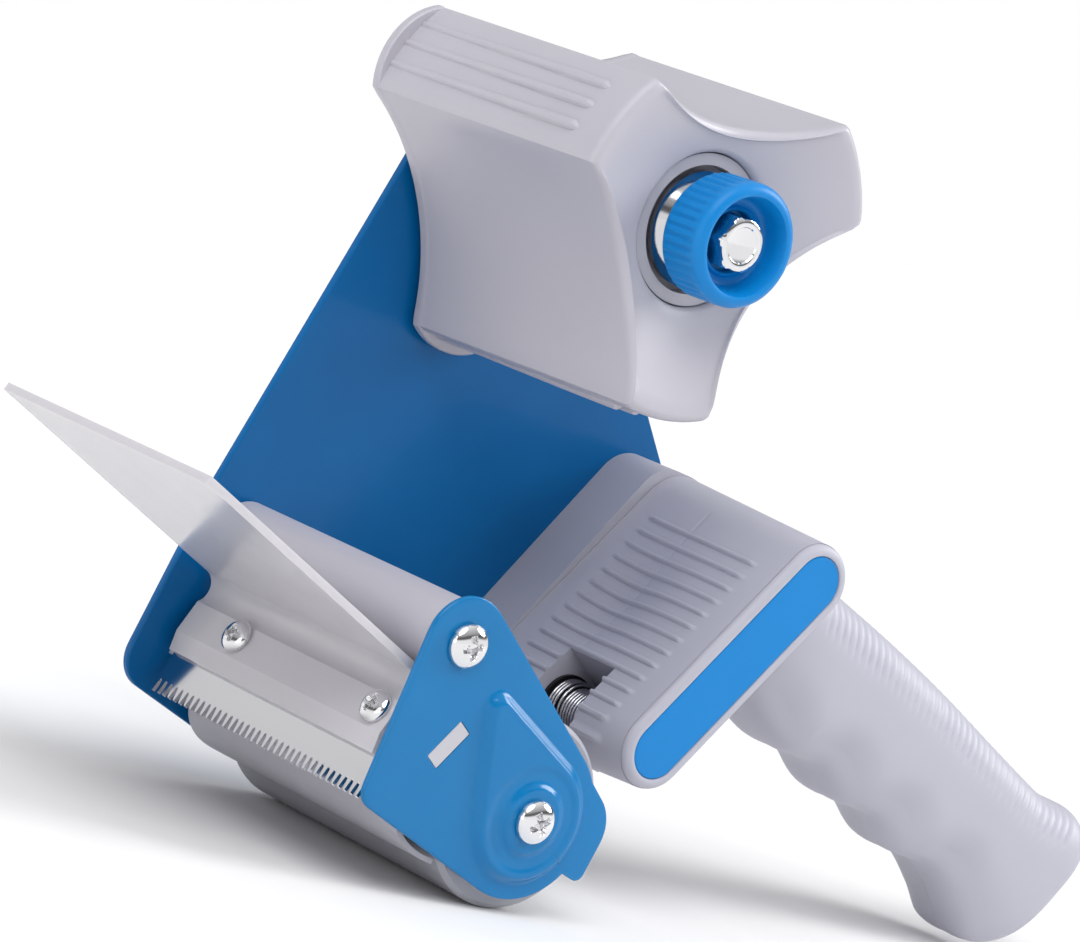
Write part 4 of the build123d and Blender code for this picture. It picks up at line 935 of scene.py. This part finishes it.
paint(near_shell, GRIP_GREY)

# ------------------------------------------------------------- spring in the notch
coil = helix((GRIP_LOW.x, GRIP_LOW.y), 4.4, -6.6, 13, 5.75, radius_end=4.75, hooks=3.0)
handle_coil = new_mesh("notch_coil", *tube(coil, 0.33, 9), "frame", "zinc_steel", smooth=60)
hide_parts("handle_spring")
paint(handle_coil, STEEL)

# ------------------------------------------------------------------ light, floor, camera
scene = bpy.context.scene
scene.view_settings.view_transform = "Standard"
world = bpy.data.worlds.new("studio")
scene.world = world
world.use_nodes = True
sky = world.node_tree
coords = sky.nodes.new("ShaderNodeTexCoord")
split = sky.nodes.new("ShaderNodeSeparateXYZ")
fade = sky.nodes.new("ShaderNodeValToRGB")
for position, level in ((0.13, 1.0), (0.20, 0.18), (0.30, 0.10), (0.40, 0.40), (0.65, 0.6)):
    stop = fade.color_ramp.elements.new(position)
    stop.color = (level, level, 1.02 * level, 1)
fade.color_ramp.elements[0].color = (1, 1, 1, 1)
sky.links.new(coords.outputs["Generated"], split.inputs[0])
sky.links.new(split.outputs["Z"], fade.inputs[0])
sky.links.new(fade.outputs[0], sky.nodes["Background"].inputs[0])
sky.nodes["Background"].inputs[1].default_value = 1.0


def sun(name, towards, strength, softness):
    """Far light that comes from a direction, its softness an angle in degrees."""
    light = bpy.data.lights.new(name, "SUN")
    light.energy = strength
    light.angle = radians(softness)
    obj = bpy.data.objects.new(name, light)
    obj.rotation_euler = Vector(towards).to_track_quat("Z", "Y").to_euler()
    scene.collection.objects.link(obj)


sun("key", (0.80, -0.28, 0.50), 1.75, 30)
sun("top_left", (-0.40, -0.45, 0.80), 1.4, 45)
sun("low_left", (-0.93, -0.30, 0.16), 0.4, 40)
# The blade reflects this box, which stands behind and above the object.
SOFTBOX_SIDE, SOFTBOX_POWER = 0.26, 0.11
SOFTBOX_PLACE, SOFTBOX_BACK = (-0.36, 0.52, 0.24), (-0.5, 0.75, 0.43)
softbox = bpy.data.lights.new("softbox", "AREA")
softbox.shape = "RECTANGLE"
softbox.size, softbox.size_y = SOFTBOX_SIDE, SOFTBOX_SIDE
softbox.energy = SOFTBOX_POWER
softbox_holder = bpy.data.objects.new("softbox", softbox)
softbox_holder.location = SOFTBOX_PLACE
softbox_holder.rotation_euler = Vector(SOFTBOX_BACK).to_track_quat("Z", "Y").to_euler()
scene.collection.objects.link(softbox_holder)

FLOOR_HALF, FLOOR_DROP = 4, 0.0002
floor_mesh = bpy.data.meshes.new("floor")
floor_mesh.from_pydata([(x * FLOOR_HALF, y * FLOOR_HALF, 0) for x, y in ((-1, -1), (1, -1), (1, 1), (-1, 1))],
                       [], [(0, 1, 2, 3)])
floor = bpy.data.objects.new("floor", floor_mesh)
floor.location.z = -FLOOR_DROP
scene.collection.objects.link(floor)
floor_mesh.materials.append(material("pale_floor", (0.82, 0.82, 0.82), 0.8, mottle=0.01, bump=0.0))

# The camera's heading turns from +Y towards +X; its tilt is up and its roll is about its own line of sight.
HEADING, TILT, ROLL = radians(41.0079), radians(-4.8088), radians(17.4972)
CAMERA_PLACE, LENS, SENSOR_WIDTH = Vector((-0.6968, -0.7593, 0.1646)), 171.86, 36.0
camera_data = bpy.data.cameras.new("camera")
camera_data.sensor_width = SENSOR_WIDTH
camera_data.lens = LENS
camera_data.clip_start = 0.05
camera = bpy.data.objects.new("camera", camera_data)
ahead = Vector((sin(HEADING) * cos(TILT), cos(HEADING) * cos(TILT), sin(TILT)))
level = Vector((cos(HEADING), -sin(HEADING), 0))
right = level * cos(ROLL) + level.cross(ahead) * sin(ROLL)
up = right.cross(ahead)
camera.matrix_world = Matrix.Translation(CAMERA_PLACE) @ Matrix((right, up, -ahead)).transposed().to_4x4()
scene.collection.objects.link(camera)
scene.camera = camera
